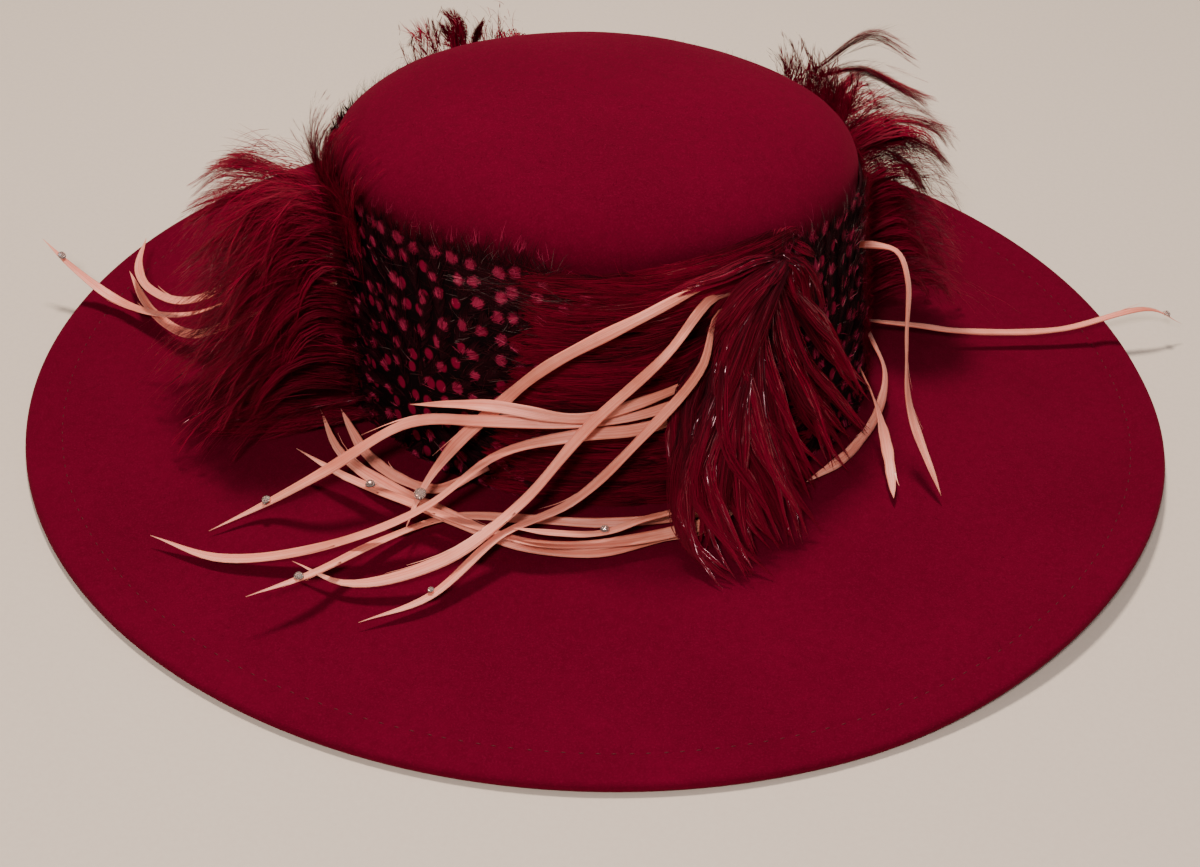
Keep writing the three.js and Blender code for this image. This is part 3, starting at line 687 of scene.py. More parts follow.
def evenly(path, count):
    """The same curve as points at equal distances."""
    travelled = np.concatenate([[0.0], np.cumsum(np.linalg.norm(np.diff(path, axis=0), axis=1))])
    wanted = np.linspace(0, travelled[-1], count)
    return sample(path, travelled / travelled[-1], wanted / travelled[-1])


def sample(values, knots, wanted):
    """Rows of values (k, 3), read between their knots at the wanted shares."""
    return np.stack([np.interp(wanted, knots, values[:, k]) for k in range(3)], axis=-1)


# %% [markdown]
# ## Barbs and locks
#
# Every feather on the hat is the same idea: a shaft with barbs on both sides. What changes is
# how long the barbs are, how far they stand off and how they lie. A particle system could comb
# hair like this, but it would need to be converted and can't follow a shaft. So one function
# grows barbs along a shaft. The barbs leave at an angle, bend towards the tip, and neighbours
# cling together in small bunches, which is what makes a feather look like one.
#
# Soft hackle also clings into silky locks: many fine strands that run side by side, swell in
# the middle and draw together at the tip. A second function makes those. In both, a share of
# the strands is glossy.

# %% Grow the barbs of one feather
TOWARDS_LAMP = np.array([-0.06, -0.74, 0.67])  # between the viewer and the front lamp


def glossed(tones, share, chance):
    """Tones from 0 to 1 as strand tones, of which a share falls in the glossy range."""
    chosen = chance.uniform(0, 1, len(tones)) < share
    return np.where(chosen, mix(GLOSS_FROM + 0.02, 1.0, tones), tones * (GLOSS_FROM - 0.02))


def barbs(shaft, looks, length, pairs, chance, angle=42.0, width=0.3, steps=4, first=0.08, bunch=0.6,
          lift=0.6, tone=0.5, gloss=0.06, tilted=0.2):
    """Ribbons along a shaft (k, 3): their paths, the way they look, widths and tones."""
    count = pairs * 2
    spots = np.sort(chance.uniform(first, 0.985, count))
    sides = np.where(np.arange(count) % 2 == 0, 1.0, -1.0)
    knots = np.linspace(0, 1, len(shaft))
    root = sample(shaft, knots, spots)
    along = unit(sample(unit(np.gradient(shaft, axis=0)), knots, spots))
    look = unit(sample(looks, knots, spots))
    across = unit(np.cross(look, along)) * sides[:, None]
    swell = np.sin(np.pi * spots**0.75) ** 0.6
    reach = length * swell * chance.uniform(0.75, 1.12, count)
    bunches = np.floor(spots * pairs / 3.0 + chance.uniform(0, 0.6, count))
    seeds = np.sin(bunches * 12.9898 + sides * 4.1) * 0.5  # one odd value for each bunch
    tilt = np.radians(angle * (1 - 0.45 * spots) + 9 * seeds * bunch + chance.normal(0, 3, count))
    t = np.linspace(0, 1, steps)[None, :, None]
    sweep = across[:, None] * np.sin(tilt)[:, None, None] * (t - 0.32 * t * t)
    forward = along[:, None] * np.cos(tilt)[:, None, None] * (t + 0.2 * t * t)
    rise = look[:, None] * ((seeds + chance.normal(0, 0.5, count))[:, None, None] * lift * t / length)
    paths = root[:, None] + reach[:, None, None] * (sweep + forward + rise)
    profile = np.interp(np.linspace(0, 1, steps), [0, 0.6, 1], [1.0, 0.8, 0.12])
    widths = width * profile[None, :] * chance.uniform(0.75, 1.25, count)[:, None]
    tones = np.clip(tone + 0.35 * seeds + chance.normal(0, 0.14, count), 0, 1)
    facing = unit(look + chance.normal(0, tilted, (count, 3)))
    return paths, np.repeat(facing[:, None], steps, axis=1), widths, glossed(tones, gloss, chance)


def shaft_ribbon(shaft, looks, width, tone):
    """The shaft itself, as one narrow tapered ribbon in the same form as the barbs."""
    widths = np.linspace(width, 0.1, len(shaft))
    return shaft[None], looks[None], widths[None], np.array([tone])


# %% Gather strands into one silky lock
def lock(path, looks, count, half_width, half_depth, chance, steps=8, late=0.45, tone=0.5, width=0.3,
         gloss=0.1, gather=0.9, mixed=0.12, twisted=0.0):
    """Fine strands along a centre line that draw together at its tip, each with its own twist."""
    side = unit(np.cross(looks, unit(np.gradient(path, axis=0))))
    knots = np.linspace(0, 1, len(path))
    first = chance.uniform(0, late, count) ** 1.3
    last = np.clip(1 - np.abs(chance.normal(0, 0.1, count)), 0.6, 1.0)
    s = first[:, None] + (last - first)[:, None] * np.linspace(0, 1, steps)[None, :]
    centre, across, up = sample(path, knots, s), sample(side, knots, s), sample(looks, knots, s)
    u = chance.uniform(-1, 1, count)
    v = chance.uniform(-1, 1, count) * np.sqrt(1 - u**2)
    drawn = (0.4 + 0.6 * np.sin(np.pi * s * 0.92)) * (1 - gather * s**3)
    wave = 0.2 * np.sin(5 * s + chance.uniform(0, 6, count)[:, None])
    paths = centre + across * ((u[:, None] + wave) * half_width * drawn)[..., None]
    paths = paths + up * ((v[:, None] + wave) * half_depth * drawn)[..., None]
    twist = twisted * np.sin(chance.uniform(5, 12, count)[:, None] * s + chance.uniform(0, 6, count)[:, None])
    facing = unit(up + across * (u[:, None] * 0.7 + twist)[..., None] + chance.normal(0, 0.08, (count, 1, 3)))
    profile = np.interp(np.linspace(0, 1, steps), [0, 0.15, 0.75, 1], [0.6, 1.0, 0.8, 0.12])
    widths = profile[None, :] * width * chance.uniform(0.75, 1.3, count)[:, None]
    # painted light and shade: strands on the lock's upper side get a lighter tone, those underneath a darker
    # one
    tones = glossed(np.clip(tone + 0.22 * v + chance.normal(0, mixed, count), 0, 1), gloss, chance)
    if twisted:
        lit = unit(TOWARDS_LAMP + across * twist[..., None] * 0.14 + chance.normal(0, 0.05, (count, 1, 3)))
        shiny = (tones > GLOSS_FROM)[:, None]
        facing = np.where(shiny[..., None], lit, facing)
        widths = np.where(shiny, widths * 0.8, widths)
    return paths, facing, widths, tones


def make_feathers(node, parts, matt, glossy):
    """One piece from groups of strands, with each strand's finish picked by its tone."""
    joined = join_parts(parts)
    verts, faces, uv = joined[:3]
    layers = {"strand": uv}
    if len(joined) > 3:
        layers["wall"] = joined[3]
    shiny = (uv[faces[:, 0], 0] > GLOSS_FROM).astype(int)
    piece = make_piece(node + "_feathers", verts, faces, layers, [matt, glossy], shiny)
    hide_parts(node)


# %% [markdown]
# ## Guinea pads
#
# Each pad is a patch of the crown's wall covered with short overlapping guinea feathers. They
# point away from the pad's middle, and single barbs fringe its edges: they stand up against the
# felt at the top and run out over the hackle at the sides. A thin dark sheet lies under them,
# as the net backing does on the real pad, so that no felt shows between the barbs.
#
# Feathers on the wall are laid out flat first, as x round the crown and y up, and then wrapped
# round it. The flat layout is also the wall UV that the spots are drawn in.

# %% Work on the flat wall, then wrap it
WALL_RADIUS = 97.0  # turns degrees round the crown into millimetres along its wall
TRIM_INSIDE = 0.5
SHEET_LOW, SHEET_HIGH = 1.0, 96.5  # a backing sheet ends just below the crown's shoulder
FLAT_LOOK = np.array([0.0, 0.0, 1.0])


def along_wall(around):
    """Degrees round the crown as millimetres along its wall."""
    return np.radians(around) * WALL_RADIUS


def wrap(paths):
    """Flat places (x round, y up, z out) on the crown, and the way out from it there."""
    around = np.degrees(paths[..., 0] / WALL_RADIUS)
    up = np.clip(paths[..., 1], 0.6, WALL_HEIGHT + DOME_HEIGHT - 1)
    out = np.clip(paths[..., 2], TRIM_INSIDE + 0.3, None)
    placed = crown_point(around, up, out)
    over = np.clip((up - WALL_HEIGHT) / DOME_HEIGHT, 0, 1)
    outwards = crown_point(around, up, out + 1.0) - placed + points(0.0, 0.0, over)
    return placed + points(0.0, 0.0, out * np.sin(over * np.pi / 2)), unit(outwards)


def wall_sheet(start, end, outer):
    """A closed thin patch on the wall: vertices, faces, strand UV and wall UV."""
    columns, rows = 26, 24
    x = np.linspace(along_wall(start), along_wall(end), columns)[None, :] + np.zeros((rows, 1))
    y = np.linspace(SHEET_LOW, SHEET_HIGH, rows)[:, None] + np.zeros((1, columns))
    front = crown_point(np.degrees(x / WALL_RADIUS), y, outer).reshape(-1, 3)
    back = crown_point(np.degrees(x / WALL_RADIUS), y, TRIM_INSIDE).reshape(-1, 3)
    faces = grid_faces(rows, columns)
    count = rows * columns
    rim = np.concatenate([np.arange(columns), np.arange(1, rows) * columns + columns - 1,
                          (rows - 1) * columns + np.arange(columns - 2, -1, -1),
                          np.arange(rows - 2, 0, -1) * columns])
    after = np.roll(rim, -1)
    sides = np.stack([rim, rim + count, after + count, after], axis=-1)
    wall = np.tile(np.stack([x, y], axis=-1).reshape(-1, 2) / WALL_UV, (2, 1))
    faces = np.concatenate([faces, faces[:, ::-1] + count, sides])
    return np.concatenate([front, back]), faces, np.zeros((2 * count, 2)), wall


def wall_strands(group, chance, tilted=0.2):
    """A flat group of strands as ribbons on the crown, with their wall UV."""
    paths, _, widths, tones = group
    placed, outwards = wrap(paths)
    facing = unit(outwards + chance.normal(0, tilted, (len(paths), 1, 3)))
    strayed = paths[:, :, :2] + chance.normal(0, 0.3, (len(paths), 1, 2))
    wall = np.repeat(strayed[:, :, None] / WALL_UV, 2, axis=2).reshape(-1, 2)
    return (*ribbons(placed, facing, widths, tones), wall)


def wisps(chance, count, around, up, heading, length, rise=2.0, width=0.2, gloss=0.2, tone=0.4):
    """Single barbs that root in a patch of the wall and head one way, in degrees from level."""
    x = chance.uniform(*along_wall(np.array(around)), count)
    root = np.stack([x, chance.uniform(*up, count)], axis=-1)
    t = np.linspace(0, 1, 5)
    turn = np.radians(chance.uniform(*heading, count)[:, None] + chance.normal(0, 22, count)[:, None] * t)
    step = np.stack([np.cos(turn), np.sin(turn)], axis=-1) * chance.uniform(*length, count)[:, None, None] / 4
    flat = root[:, None] + np.concatenate([np.zeros((count, 1, 2)), np.cumsum(step[:, 1:], axis=1)], axis=1)
    out = 2.6 + t[None, :] * chance.uniform(0.2, rise, count)[:, None]
    widths = np.array([1.0, 0.9, 0.75, 0.5, 0.15])[None, :] * width * chance.uniform(0.7, 1.3, count)[:, None]
    tones = glossed(np.clip(chance.normal(tone, 0.2, count), 0, 1), gloss, chance)
    return wall_strands((np.concatenate([flat, out[..., None]], axis=-1), None, widths, tones), chance)


# %% The four guinea pads
PADS = [
    {"name": "guinea_pad_left_front", "from": 201, "to": 252, "tuft": True, "pairs": 29, "seed": 31},
    {"name": "guinea_pad_right_front", "from": 308, "to": 348, "tuft": False, "pairs": 26, "seed": 32},
    {"name": "guinea_pad_right_back", "from": 52, "to": 98, "tuft": False, "pairs": 15, "seed": 33},
    {"name": "guinea_pad_left_back", "from": 132, "to": 173, "tuft": False, "pairs": 15, "seed": 34},
]


def small_feather(root, heading, length, pad, chance):
    """One guinea feather on the flat wall, as a group of wall strands."""
    turn = heading + np.radians(chance.uniform(-14, 14)) * np.linspace(0, 1, 7)
    steps = np.stack([np.cos(turn), np.sin(turn)], axis=-1) * length / 6
    flat = root + np.concatenate([[[0.0, 0.0]], np.cumsum(steps[1:], axis=0)])
    shaft = np.column_stack([flat, np.linspace(1.9, chance.uniform(2.6, 3.8), 7)])
    fine = pad["pairs"] > 25  # the pads at the back have fewer and wider barbs, to save faces
    group = barbs(shaft, np.tile(FLAT_LOOK, (7, 1)), 8.0, pad["pairs"], chance, angle=40.0,
                  width=0.32 if fine else 0.56, lift=0.9, gloss=0.05)
    return wall_strands(group, chance, 0.22)


def guinea_pad(pad):
    """A backing sheet, rows of small spotted feathers on it and single barbs round its edges."""
    chance = np.random.default_rng(pad["seed"])
    start, end = along_wall(pad["from"]), along_wall(pad["to"])
    middle, half = (start + end) / 2, (end - start) / 2
    parts = [wall_sheet(pad["from"] - 0.3, pad["to"], 1.8)]
    for y in np.arange(4.0, 97.0, 6.8):
        for x in np.arange(start + 2, end - 2, 7.6):
            root = np.array([x, y]) + chance.uniform(-2, 2, 2)
            heading = math.atan2((root[1] - 40) / 50 + 0.3, (root[0] - middle) / half) + chance.normal(0, 0.2)
            room = max(98.0 - root[1], 0) / max(math.sin(heading), 0.05)
            length = min(chance.uniform(12, 18), max(room, 5.0))
            parts.append(small_feather(root, heading, length, pad, chance))
    above = (pad["from"], pad["to"])
    parts.append(wisps(chance, 700, above, (90, 98), (50, 130), (4, 13), 2.6, 0.17, 0.12))
    parts.append(wisps(chance, 500, above, (6, 94), (0, 180), (3, 8), 2.6, 0.17, 0.5, 0.7))
    parts.append(wisps(chance, 280, (pad["from"], pad["from"] + 6), (6, 96), (120, 200), (5, 12), 2.4))
    parts.append(wisps(chance, 280, (pad["to"] - 7, pad["to"] - 1), (6, 96), (-15, 50), (5, 14), 2.4))
    if pad["tuft"]:  # long wisps that run over the start of the front sweep and over the crown's edge
        parts.append(wisps(chance, 260, (236, 254), (84, 97), (-12, 14), (14, 28), 3.0, 0.2, 0.3, 0.8))
        parts.append(wisps(chance, 240, (238, 260), (92, 99), (70, 140), (6, 15), 3.0, 0.18, 0.1))
    make_feathers(pad["name"], parts, guinea_matt, guinea_glossy)


for pad in PADS:
    guinea_pad(pad)

# %% [markdown]
# ## Hackle sweeps
#
# Between the pads lies hackle, longer and silkier, combed away from the knot of each plume. It
# fans out from the knot and settles into level lines. We write that as a field: near the knot
# a strand heads straight away from it, and farther off it turns level. Each lock then follows
# the field step by step, so the strands flow like combed hair without being placed one by one.
# At its far end the front sweep runs over the edge of the guinea pad.

# %% The four sweeps
SWEEPS = [
    {"name": "hackle_sweep_front", "from": 253, "to": 307, "roots_to": 311, "knot": (305, 95), "settle": 70,
     "locks": 250, "length": (26, 60), "tone": (0.0, 0.2), "over_top": 40, "seed": 41},
    # painted light: the right sweep gets a lighter tone range than the others, to lift it out of shade near
    # the crown
    {"name": "hackle_sweep_right", "from": 349, "to": 411, "roots_to": 411, "knot": (391, 88), "settle": 190,
     "locks": 150, "length": (20, 40), "tone": (0.25, 0.6), "root_fluff": (348, 360), "seed": 42},
    {"name": "hackle_sweep_back", "from": 99, "to": 131, "roots_to": 131, "knot": (122, 88), "settle": 120,
     "locks": 80, "length": (20, 40), "tone": (0.1, 0.4), "seed": 43},
    {"name": "hackle_sweep_left", "from": 174, "to": 200, "roots_to": 203, "knot": (205, 78), "settle": 300,
     "locks": 110, "length": (20, 38), "tone": (0.1, 0.4), "root_fluff": (184, 202.5), "seed": 44},
]


COMB_TOP, COMB_OVER, COMB_SLOWED = 97.0, 6.0, 9.0  # above the top, locks slow down and stop 6 mm on


def combed(sweep, root, length, sway):
    """A lock's centre line over the flat wall, from its root along the field."""
    knot = np.array([along_wall(sweep["knot"][0]), sweep["knot"][1]])
    place = root.copy()
    track = [place.copy()]
    for step in range(7):
        away = place - knot
        distance = max(np.linalg.norm(away), 1e-6)
        level = np.array([math.copysign(1.0, away[0]), -0.05])
        settled = min(distance / sweep["settle"], 1.0)
        heading = away / distance * (1 - settled) + level * settled
        turn = sway * (step / 6 - 0.3)
        heading = np.array([heading[0] - turn * heading[1], heading[1] + turn * heading[0]])
        place = place + heading / np.linalg.norm(heading) * length / 7
        track.append(place.copy())
    track = np.array(track)
    over = np.clip(track[:, 1] - COMB_TOP, 0, None)
    track[:, 1] = np.minimum(track[:, 1], COMB_TOP) + COMB_OVER * (1 - np.exp(-over / COMB_SLOWED))
    return track


def hackle_sweep(sweep):
    """A sheet painted dark as shade under the locks, and combed locks on it."""
    chance = np.random.default_rng(sweep["seed"])
    start, end = along_wall(sweep["from"]), along_wall(sweep["roots_to"])
    # painted shade: the sheet takes the darkest tone and the root shade, so the gaps between the locks read
    # dark
    parts = [wall_sheet(sweep["from"], sweep["to"], 1.7)]
    knot_x = along_wall(sweep["knot"][0])
    for _ in range(sweep["locks"]):
        root = np.array([chance.uniform(start + 8, end), chance.uniform(3, 99)])
        room = root[0] - start if root[0] < knot_x else end + 14 - root[0]
        length = min(chance.uniform(*sweep["length"]), max(room, 12))
        if sweep["name"] == "hackle_sweep_front":  # its lower locks run on over the guinea pad's edge
            length += max(0.0, 80 - root[1]) * 0.2 if root[0] - length < start + 4 else 0.0
        flat = combed(sweep, root, length, chance.normal(0, 0.22))
        low = chance.uniform(1.9, 3.2)
        path = np.column_stack([flat, low + np.linspace(0, 1, 8) * chance.uniform(0.2, 1.3)])
        group = lock(path, np.tile(FLAT_LOOK, (8, 1)), 30, chance.uniform(2.4, 4.6), 0.8, chance, steps=5,
                     late=0.35, tone=chance.uniform(*sweep["tone"]), width=0.3, gloss=0.02)
        parts.append(wall_strands(group, chance, 0.15))
    parts.append(wisps(chance, 500, (sweep["from"], sweep["to"]), (90, 98), (150, 200), (8, 20), 2.6,
                       0.18, 0.02, sweep["tone"][1]))
    for _ in range(sweep.get("over_top", 0)):
        drop = chance.uniform(0, 14)
        flat = np.array([[along_wall(315 - chance.uniform(0, 8)), 106 - drop * 0.5, 3.0],
                         [along_wall(300), 105 - drop * 0.8, 4.0], [along_wall(287), 103 - drop, 3.4],
                         [along_wall(274 - chance.uniform(0, 8)), 99 - drop, 2.8]])
        flat[:, :2] += chance.normal(0, 0.9, (4, 2))
        group = lock(evenly(centripetal(flat), 10), np.tile(FLAT_LOOK, (10, 1)), 34, 2.4, 0.9, chance,
                     steps=6, late=0.5, tone=chance.uniform(0.1, 0.35), width=0.24, gloss=0.02, gather=0.3)
        parts.append(wall_strands(group, chance, 0.15))
    if "root_fluff" in sweep:
        parts.append(wisps(chance, 1100, sweep["root_fluff"], (2, 97), (60, 220), (5, 13), 4.0,
                           0.27, 0.03, 0.5))
    make_feathers(sweep["name"], parts, hackle_matt, hackle_glossy)


for sweep in SWEEPS:
    hackle_sweep(sweep)

# %% [markdown]
# ## Plumes
#
# A plume is a bunch of hackles wired at their roots. The front one hangs in long glossy locks
# with pointed, wavy ends. The others are fluffier: each feather arches out from the crown and
# its barbs trail from the shaft. The mass of a plume follows one rule, an arch that goes quickly
# out at first and then falls, between a root on the wall and a tip over the brim. The feathers
# that make its outline are traced one by one, as degrees round the crown, millimetres out from
# its foot and millimetres up from the brim.

# %% Arches from root to tip, and traced ones
PLUMES = {
    "hackle_plume_right": {"around": 28, "low": 8, "high": 96, "from": 13, "to": 43, "tip_high": 90,
                           "reach_from": 68, "reach_to": 50, "top_reach": 0.5, "tone": 0.45},
    "hackle_plume_back": {"around": 122, "low": 24, "high": 97, "from": 112, "to": 134, "tip_high": 104,
                          "reach_from": 53, "reach_to": 53, "top_reach": 0.42, "tone": 0.35},
    "hackle_plume_left": {"around": 197, "low": 8, "high": 96, "from": 181, "to": 208, "tip_high": 84,
                          "reach_from": 82, "reach_to": 66, "top_reach": 0.65, "tone": 0.3},
}
ROOT_LIFT = 4.5
TIP_LOW = 4.0
BOW = 12.0
SKY = np.array([0.0, 0.0, 1.0])


def arches(plume, level, fan, chance, reach=(0.8, 1.05), spread=9.0, steps=12, wander=2.0):
    """Centre lines, one for each level and fan: level 0 is the lowest and 1 the highest."""
    count = len(level)
    root_around = plume["around"] + spread * (2 * fan - 1) + chance.normal(0, 1.0, count)
    root_up = np.minimum(mix(plume["low"], plume["high"], level) + chance.normal(0, 2.5, count), 99.0)
    root = crown_point(root_around, root_up, ROOT_LIFT)[:, None]
    tip_around = mix(plume["from"], plume["to"], fan)
    tip_out = mix(plume["reach_from"], plume["reach_to"], fan) * mix(1, plume["top_reach"], level)
    tip_out = tip_out * chance.uniform(*reach, count)
    tip = on_hat(tip_around, tip_out, mix(TIP_LOW, plume["tip_high"], level))[:, None]
    s = np.linspace(0, 1, steps)[None, :]
    out_share = 0.5 * s + 0.5 * np.sin(np.pi / 2 * s)
    up_share = 1 - np.cos(np.pi / 2 * s)
    paths = points(mix(root[..., 0], tip[..., 0], out_share), mix(root[..., 1], tip[..., 1], out_share),
                   mix(root[..., 2], tip[..., 2], up_share) + BOW * np.sin(np.pi * s))
    return paths + chance.normal(0, wander, (count, 1, 3)) * (s**2)[..., None]


def haze(plume, count, chance, gloss=0.01):
    """Single barbs that drift along the arches, each on its own, so that the mass looks soft."""
    level = chance.uniform(0, 1, count)
    paths = arches(plume, level, chance.uniform(0, 1, count), chance, (0.7, 1.1), 12.0, 14, 4.0)
    first = chance.integers(0, 9, count)
    picked = first[:, None] + np.arange(0, 6)[None, :]
    paths = paths[np.arange(count)[:, None], picked] + chance.normal(0, 2.0, (count, 1, 3))
    side = unit(np.cross(np.gradient(paths, axis=1), SKY))
    paths = paths + side * (chance.normal(0, 4.0, count)[:, None] * np.linspace(0, 1, 6) ** 2)[..., None]
    facing = unit(paths * np.array([0.01, 0.01, 0.0]) + SKY + chance.normal(0, 0.3, (count, 1, 3)))
    widths = np.array([0.6, 1.0, 1.0, 0.8, 0.5, 0.12])[None, :] * chance.uniform(0.15, 0.28, count)[:, None]
    # painted light and shade: barbs higher in the plume get a lighter tone, lower ones a darker one
    tones = np.clip(plume["tone"] + 0.25 * level + chance.normal(0, 0.12, count), 0, 1)
    return above_brim((paths, facing, widths, glossed(tones, gloss, chance)))


def traced(places, chance, stray):
    """A smooth centre line near the traced places, which strays more towards its tip."""
    knots = np.array([on_hat(*place) for place in places])
    drift = chance.normal(0, stray, 3) * np.linspace(0.3, 1.3, len(knots))[:, None]
    return evenly(centripetal(knots + drift + chance.normal(0, stray * 0.3, knots.shape)), 14)


def sky_side(path):
    """The way the top of a strand looks: square to it, and as far up and outwards as it can be."""
    along = unit(np.gradient(path, axis=0))
    outwards = unit(path * np.array([1.0, 1.0, 0.0])) * 0.6 + SKY
    return unit(outwards - along * (outwards * along).sum(axis=-1, keepdims=True))


MID_BRIM = 40.0  # the quick measure of out below is right about this far out


def above_brim(group, clearance=0.8):
    """A group of strands, lifted clear of the brim and of the floor."""
    paths = group[0]
    x, y = paths[..., 0], paths[..., 1]
    half_x, half_y = FOOT["right"] + MID_BRIM, FOOT["front"] + MID_BRIM
    around = np.degrees(np.arctan2(y / half_y, x / half_x))
    foot = (FOOT["right"] + FOOT["front"]) / 2
    out = np.sqrt((x / half_x) ** 2 + (y / half_y) ** 2) * ((half_x + half_y) / 2) - foot
    floor = brim_top(around, np.clip(out, 0, BRIM_WIDTH)) + clearance
    lifted = np.concatenate([paths[..., :2], np.maximum(paths[..., 2:], floor[..., None])], axis=-1)
    return (lifted, *group[1:])


# %% The front plume, in glossy locks
FRONT_LOCKS = [
    [(307, -4, 90), (311, 2, 63), (319, 7, 39), (329, 15, 15)],
    [(305, -4, 90), (313, 5, 45), (325, 14, 10)],
    [(307, -5, 93), (316, 0, 70), (323, 4, 50), (329, 12, 27)],
    [(305, -4, 89), (308, 2, 59), (314, 8, 33), (319, 15, 6)],
    [(303, -3, 87), (302, 2, 64), (306, 11, 33), (313, 17, 6)],
    [(300, -2, 84), (298, 5, 59), (302, 13, 37), (310, 21, 5)],
    [(302, -3, 86), (299, 8, 55), (301, 24, 24), (303, 37, 3)],
    [(299, -1, 84), (295, 6, 72), (296, 15, 47), (300, 26, 20), (302, 36, 2)],
    [(298, 0, 82), (292, 9, 66), (291, 20, 43), (295, 29, 20), (299, 38, 2)],
    [(297, 2, 76), (291, 17, 50), (288, 25, 32), (289, 33, 15), (293, 44, 2)],
    [(296, 2, 72), (288, 18, 50), (284, 23, 34), (284, 30, 14), (289, 45, 2)],
    [(296, 0, 76), (288, 3, 64), (283, 9, 43), (283, 17, 21), (285, 21, 4)],
    [(299, 4, 74), (294, 18, 49), (293, 27, 24), (296, 38, 2)],
    [(295, 2, 66), (286, 19, 46), (286, 26, 20), (291, 46, 2)],
    [(297, 3, 70), (289, 14, 44), (287, 24, 20), (287, 31, 3)],
]
NECK_LOCKS = [
    [(307, -4, 97), (301, 2, 93), (295, 5, 80), (290, 10, 60)],
    [(306, -3, 95), (299, 3, 89), (293, 7, 72), (289, 11, 50)],
    [(308, -4, 98), (302, 1, 97), (296, 3, 93), (290, 6, 82)],
    [(305, -5, 98), (310, -4, 96), (314, -2, 86), (316, 1, 70)],
    [(306, -5, 99), (309, -5, 98), (312, -5, 92), (314, -3, 80)],
    [(306, -6, 101), (309, -8, 103), (311, -8, 101), (313, -7, 95)],
    [(305, -5, 100), (298, -4, 101), (289, -3, 99), (280, -3, 96)],
]
# Locks further down the list get darker dye, the last six darkest: this is painted shade.
FRONT_TONES = [(0.1, 0.45)] * 4 + [(0.0, 0.35)] * 5 + [(0.0, 0.22)] * 6
chance = np.random.default_rng(51)
groups = []
for number, places in enumerate(FRONT_LOCKS):
    silky = 0.4 if 3 < number < 9 else 0.22
    for copy in range(6):
        path = traced(places, chance, 0.4 + 0.55 * copy)
        wave = np.sin(np.linspace(0, 1, 14) * 11 + chance.uniform(0, 6)) * np.linspace(0.2, 2.6, 14)
        path = path + unit(np.cross(sky_side(path), np.gradient(path, axis=0))) * wave[:, None]
        # the under copies are painted shade: with tone 0 they darken the gaps between the locks
        under = copy > 3  # dark, broad and matt copies that fill the gaps below the others
        half_width = chance.uniform(3.0, 4.6) if under else chance.uniform(1.4, 3.2)
        tone = 0.0 if under else chance.uniform(*FRONT_TONES[number])
        gloss = 0.0 if under else chance.choice([0.05, silky])
        strands = lock(path - sky_side(path) * (2.5 if under else 0.0), sky_side(path), 58, half_width, 1.2,
                       chance, steps=8, late=0.35, tone=tone, width=0.31, gloss=gloss, mixed=0.07,
                       twisted=0.7)
        groups.append(above_brim(strands))
for number, places in enumerate(NECK_LOCKS):
    for copy in range(7):
        path = traced(places, chance, 1.0 + 0.3 * copy)
        # painted shade: the first three neck locks get the darkest dye
        groups.append(lock(path, sky_side(path), 36, 2.4, 1.2, chance, steps=7, late=0.2,
                           tone=chance.uniform(0.0, 0.1 if number < 3 else 0.3), width=0.26, gloss=0.04,
                           gather=0.3, twisted=0.4))
make_feathers("hackle_plume_front", [ribbons(*group) for group in groups], hackle_matt, hackle_glossy)

# %% The other plumes, fluffier
RIGHT_ARCS = [
    [(48, 13, 95), (41, 32, 115), (34, 41, 111)],
    [(47, 18, 95), (36, 18, 106), (23, 21, 108), (23, 33, 103)],
    [(38, 5, 93), (37, 17, 104), (30, 22, 105), (25, 35, 97)],
    [(31, 5, 91), (21, 20, 98), (18, 31, 97), (20, 42, 87)],
    [(27, 3, 87), (22, 11, 92), (17, 26, 89), (18, 40, 76)],
    [(28, 5, 83), (15, 12, 87), (23, 38, 58)],
]
LEFT_ARCS = [
    [(186, 12, 83), (189, 21, 96), (186, 32, 97), (180, 45, 91), (179, 59, 81)],
    [(182, 14, 83), (184, 27, 96), (179, 38, 94), (174, 52, 86)],
    [(188, 13, 79), (190, 33, 93), (188, 47, 89), (184, 60, 77)],
    [(192, 6, 71), (191, 27, 82), (188, 46, 73), (183, 64, 52)],
    [(202, 8, 59), (201, 24, 68), (196, 37, 60), (189, 57, 29)],
    [(207, 11, 45), (203, 27, 50), (198, 44, 37), (194, 65, 12)],
    [(208, 11, 28), (204, 25, 30), (199, 40, 16), (196, 56, 4)],
    [(211, 6, 16), (207, 22, 14), (202, 39, 9), (197, 58, 4)],
    [(213, 5, 9), (209, 20, 8), (204, 37, 5), (198, 60, 3)],
]
BACK_ARCS = [
    [(122, 15, 95), (124, 13, 108), (126, 15, 114)],
    [(123, 16, 95), (127, 9, 107), (130, 8, 113)],
    [(119, 18, 95), (121, 8, 107), (121, 4, 112)],
]


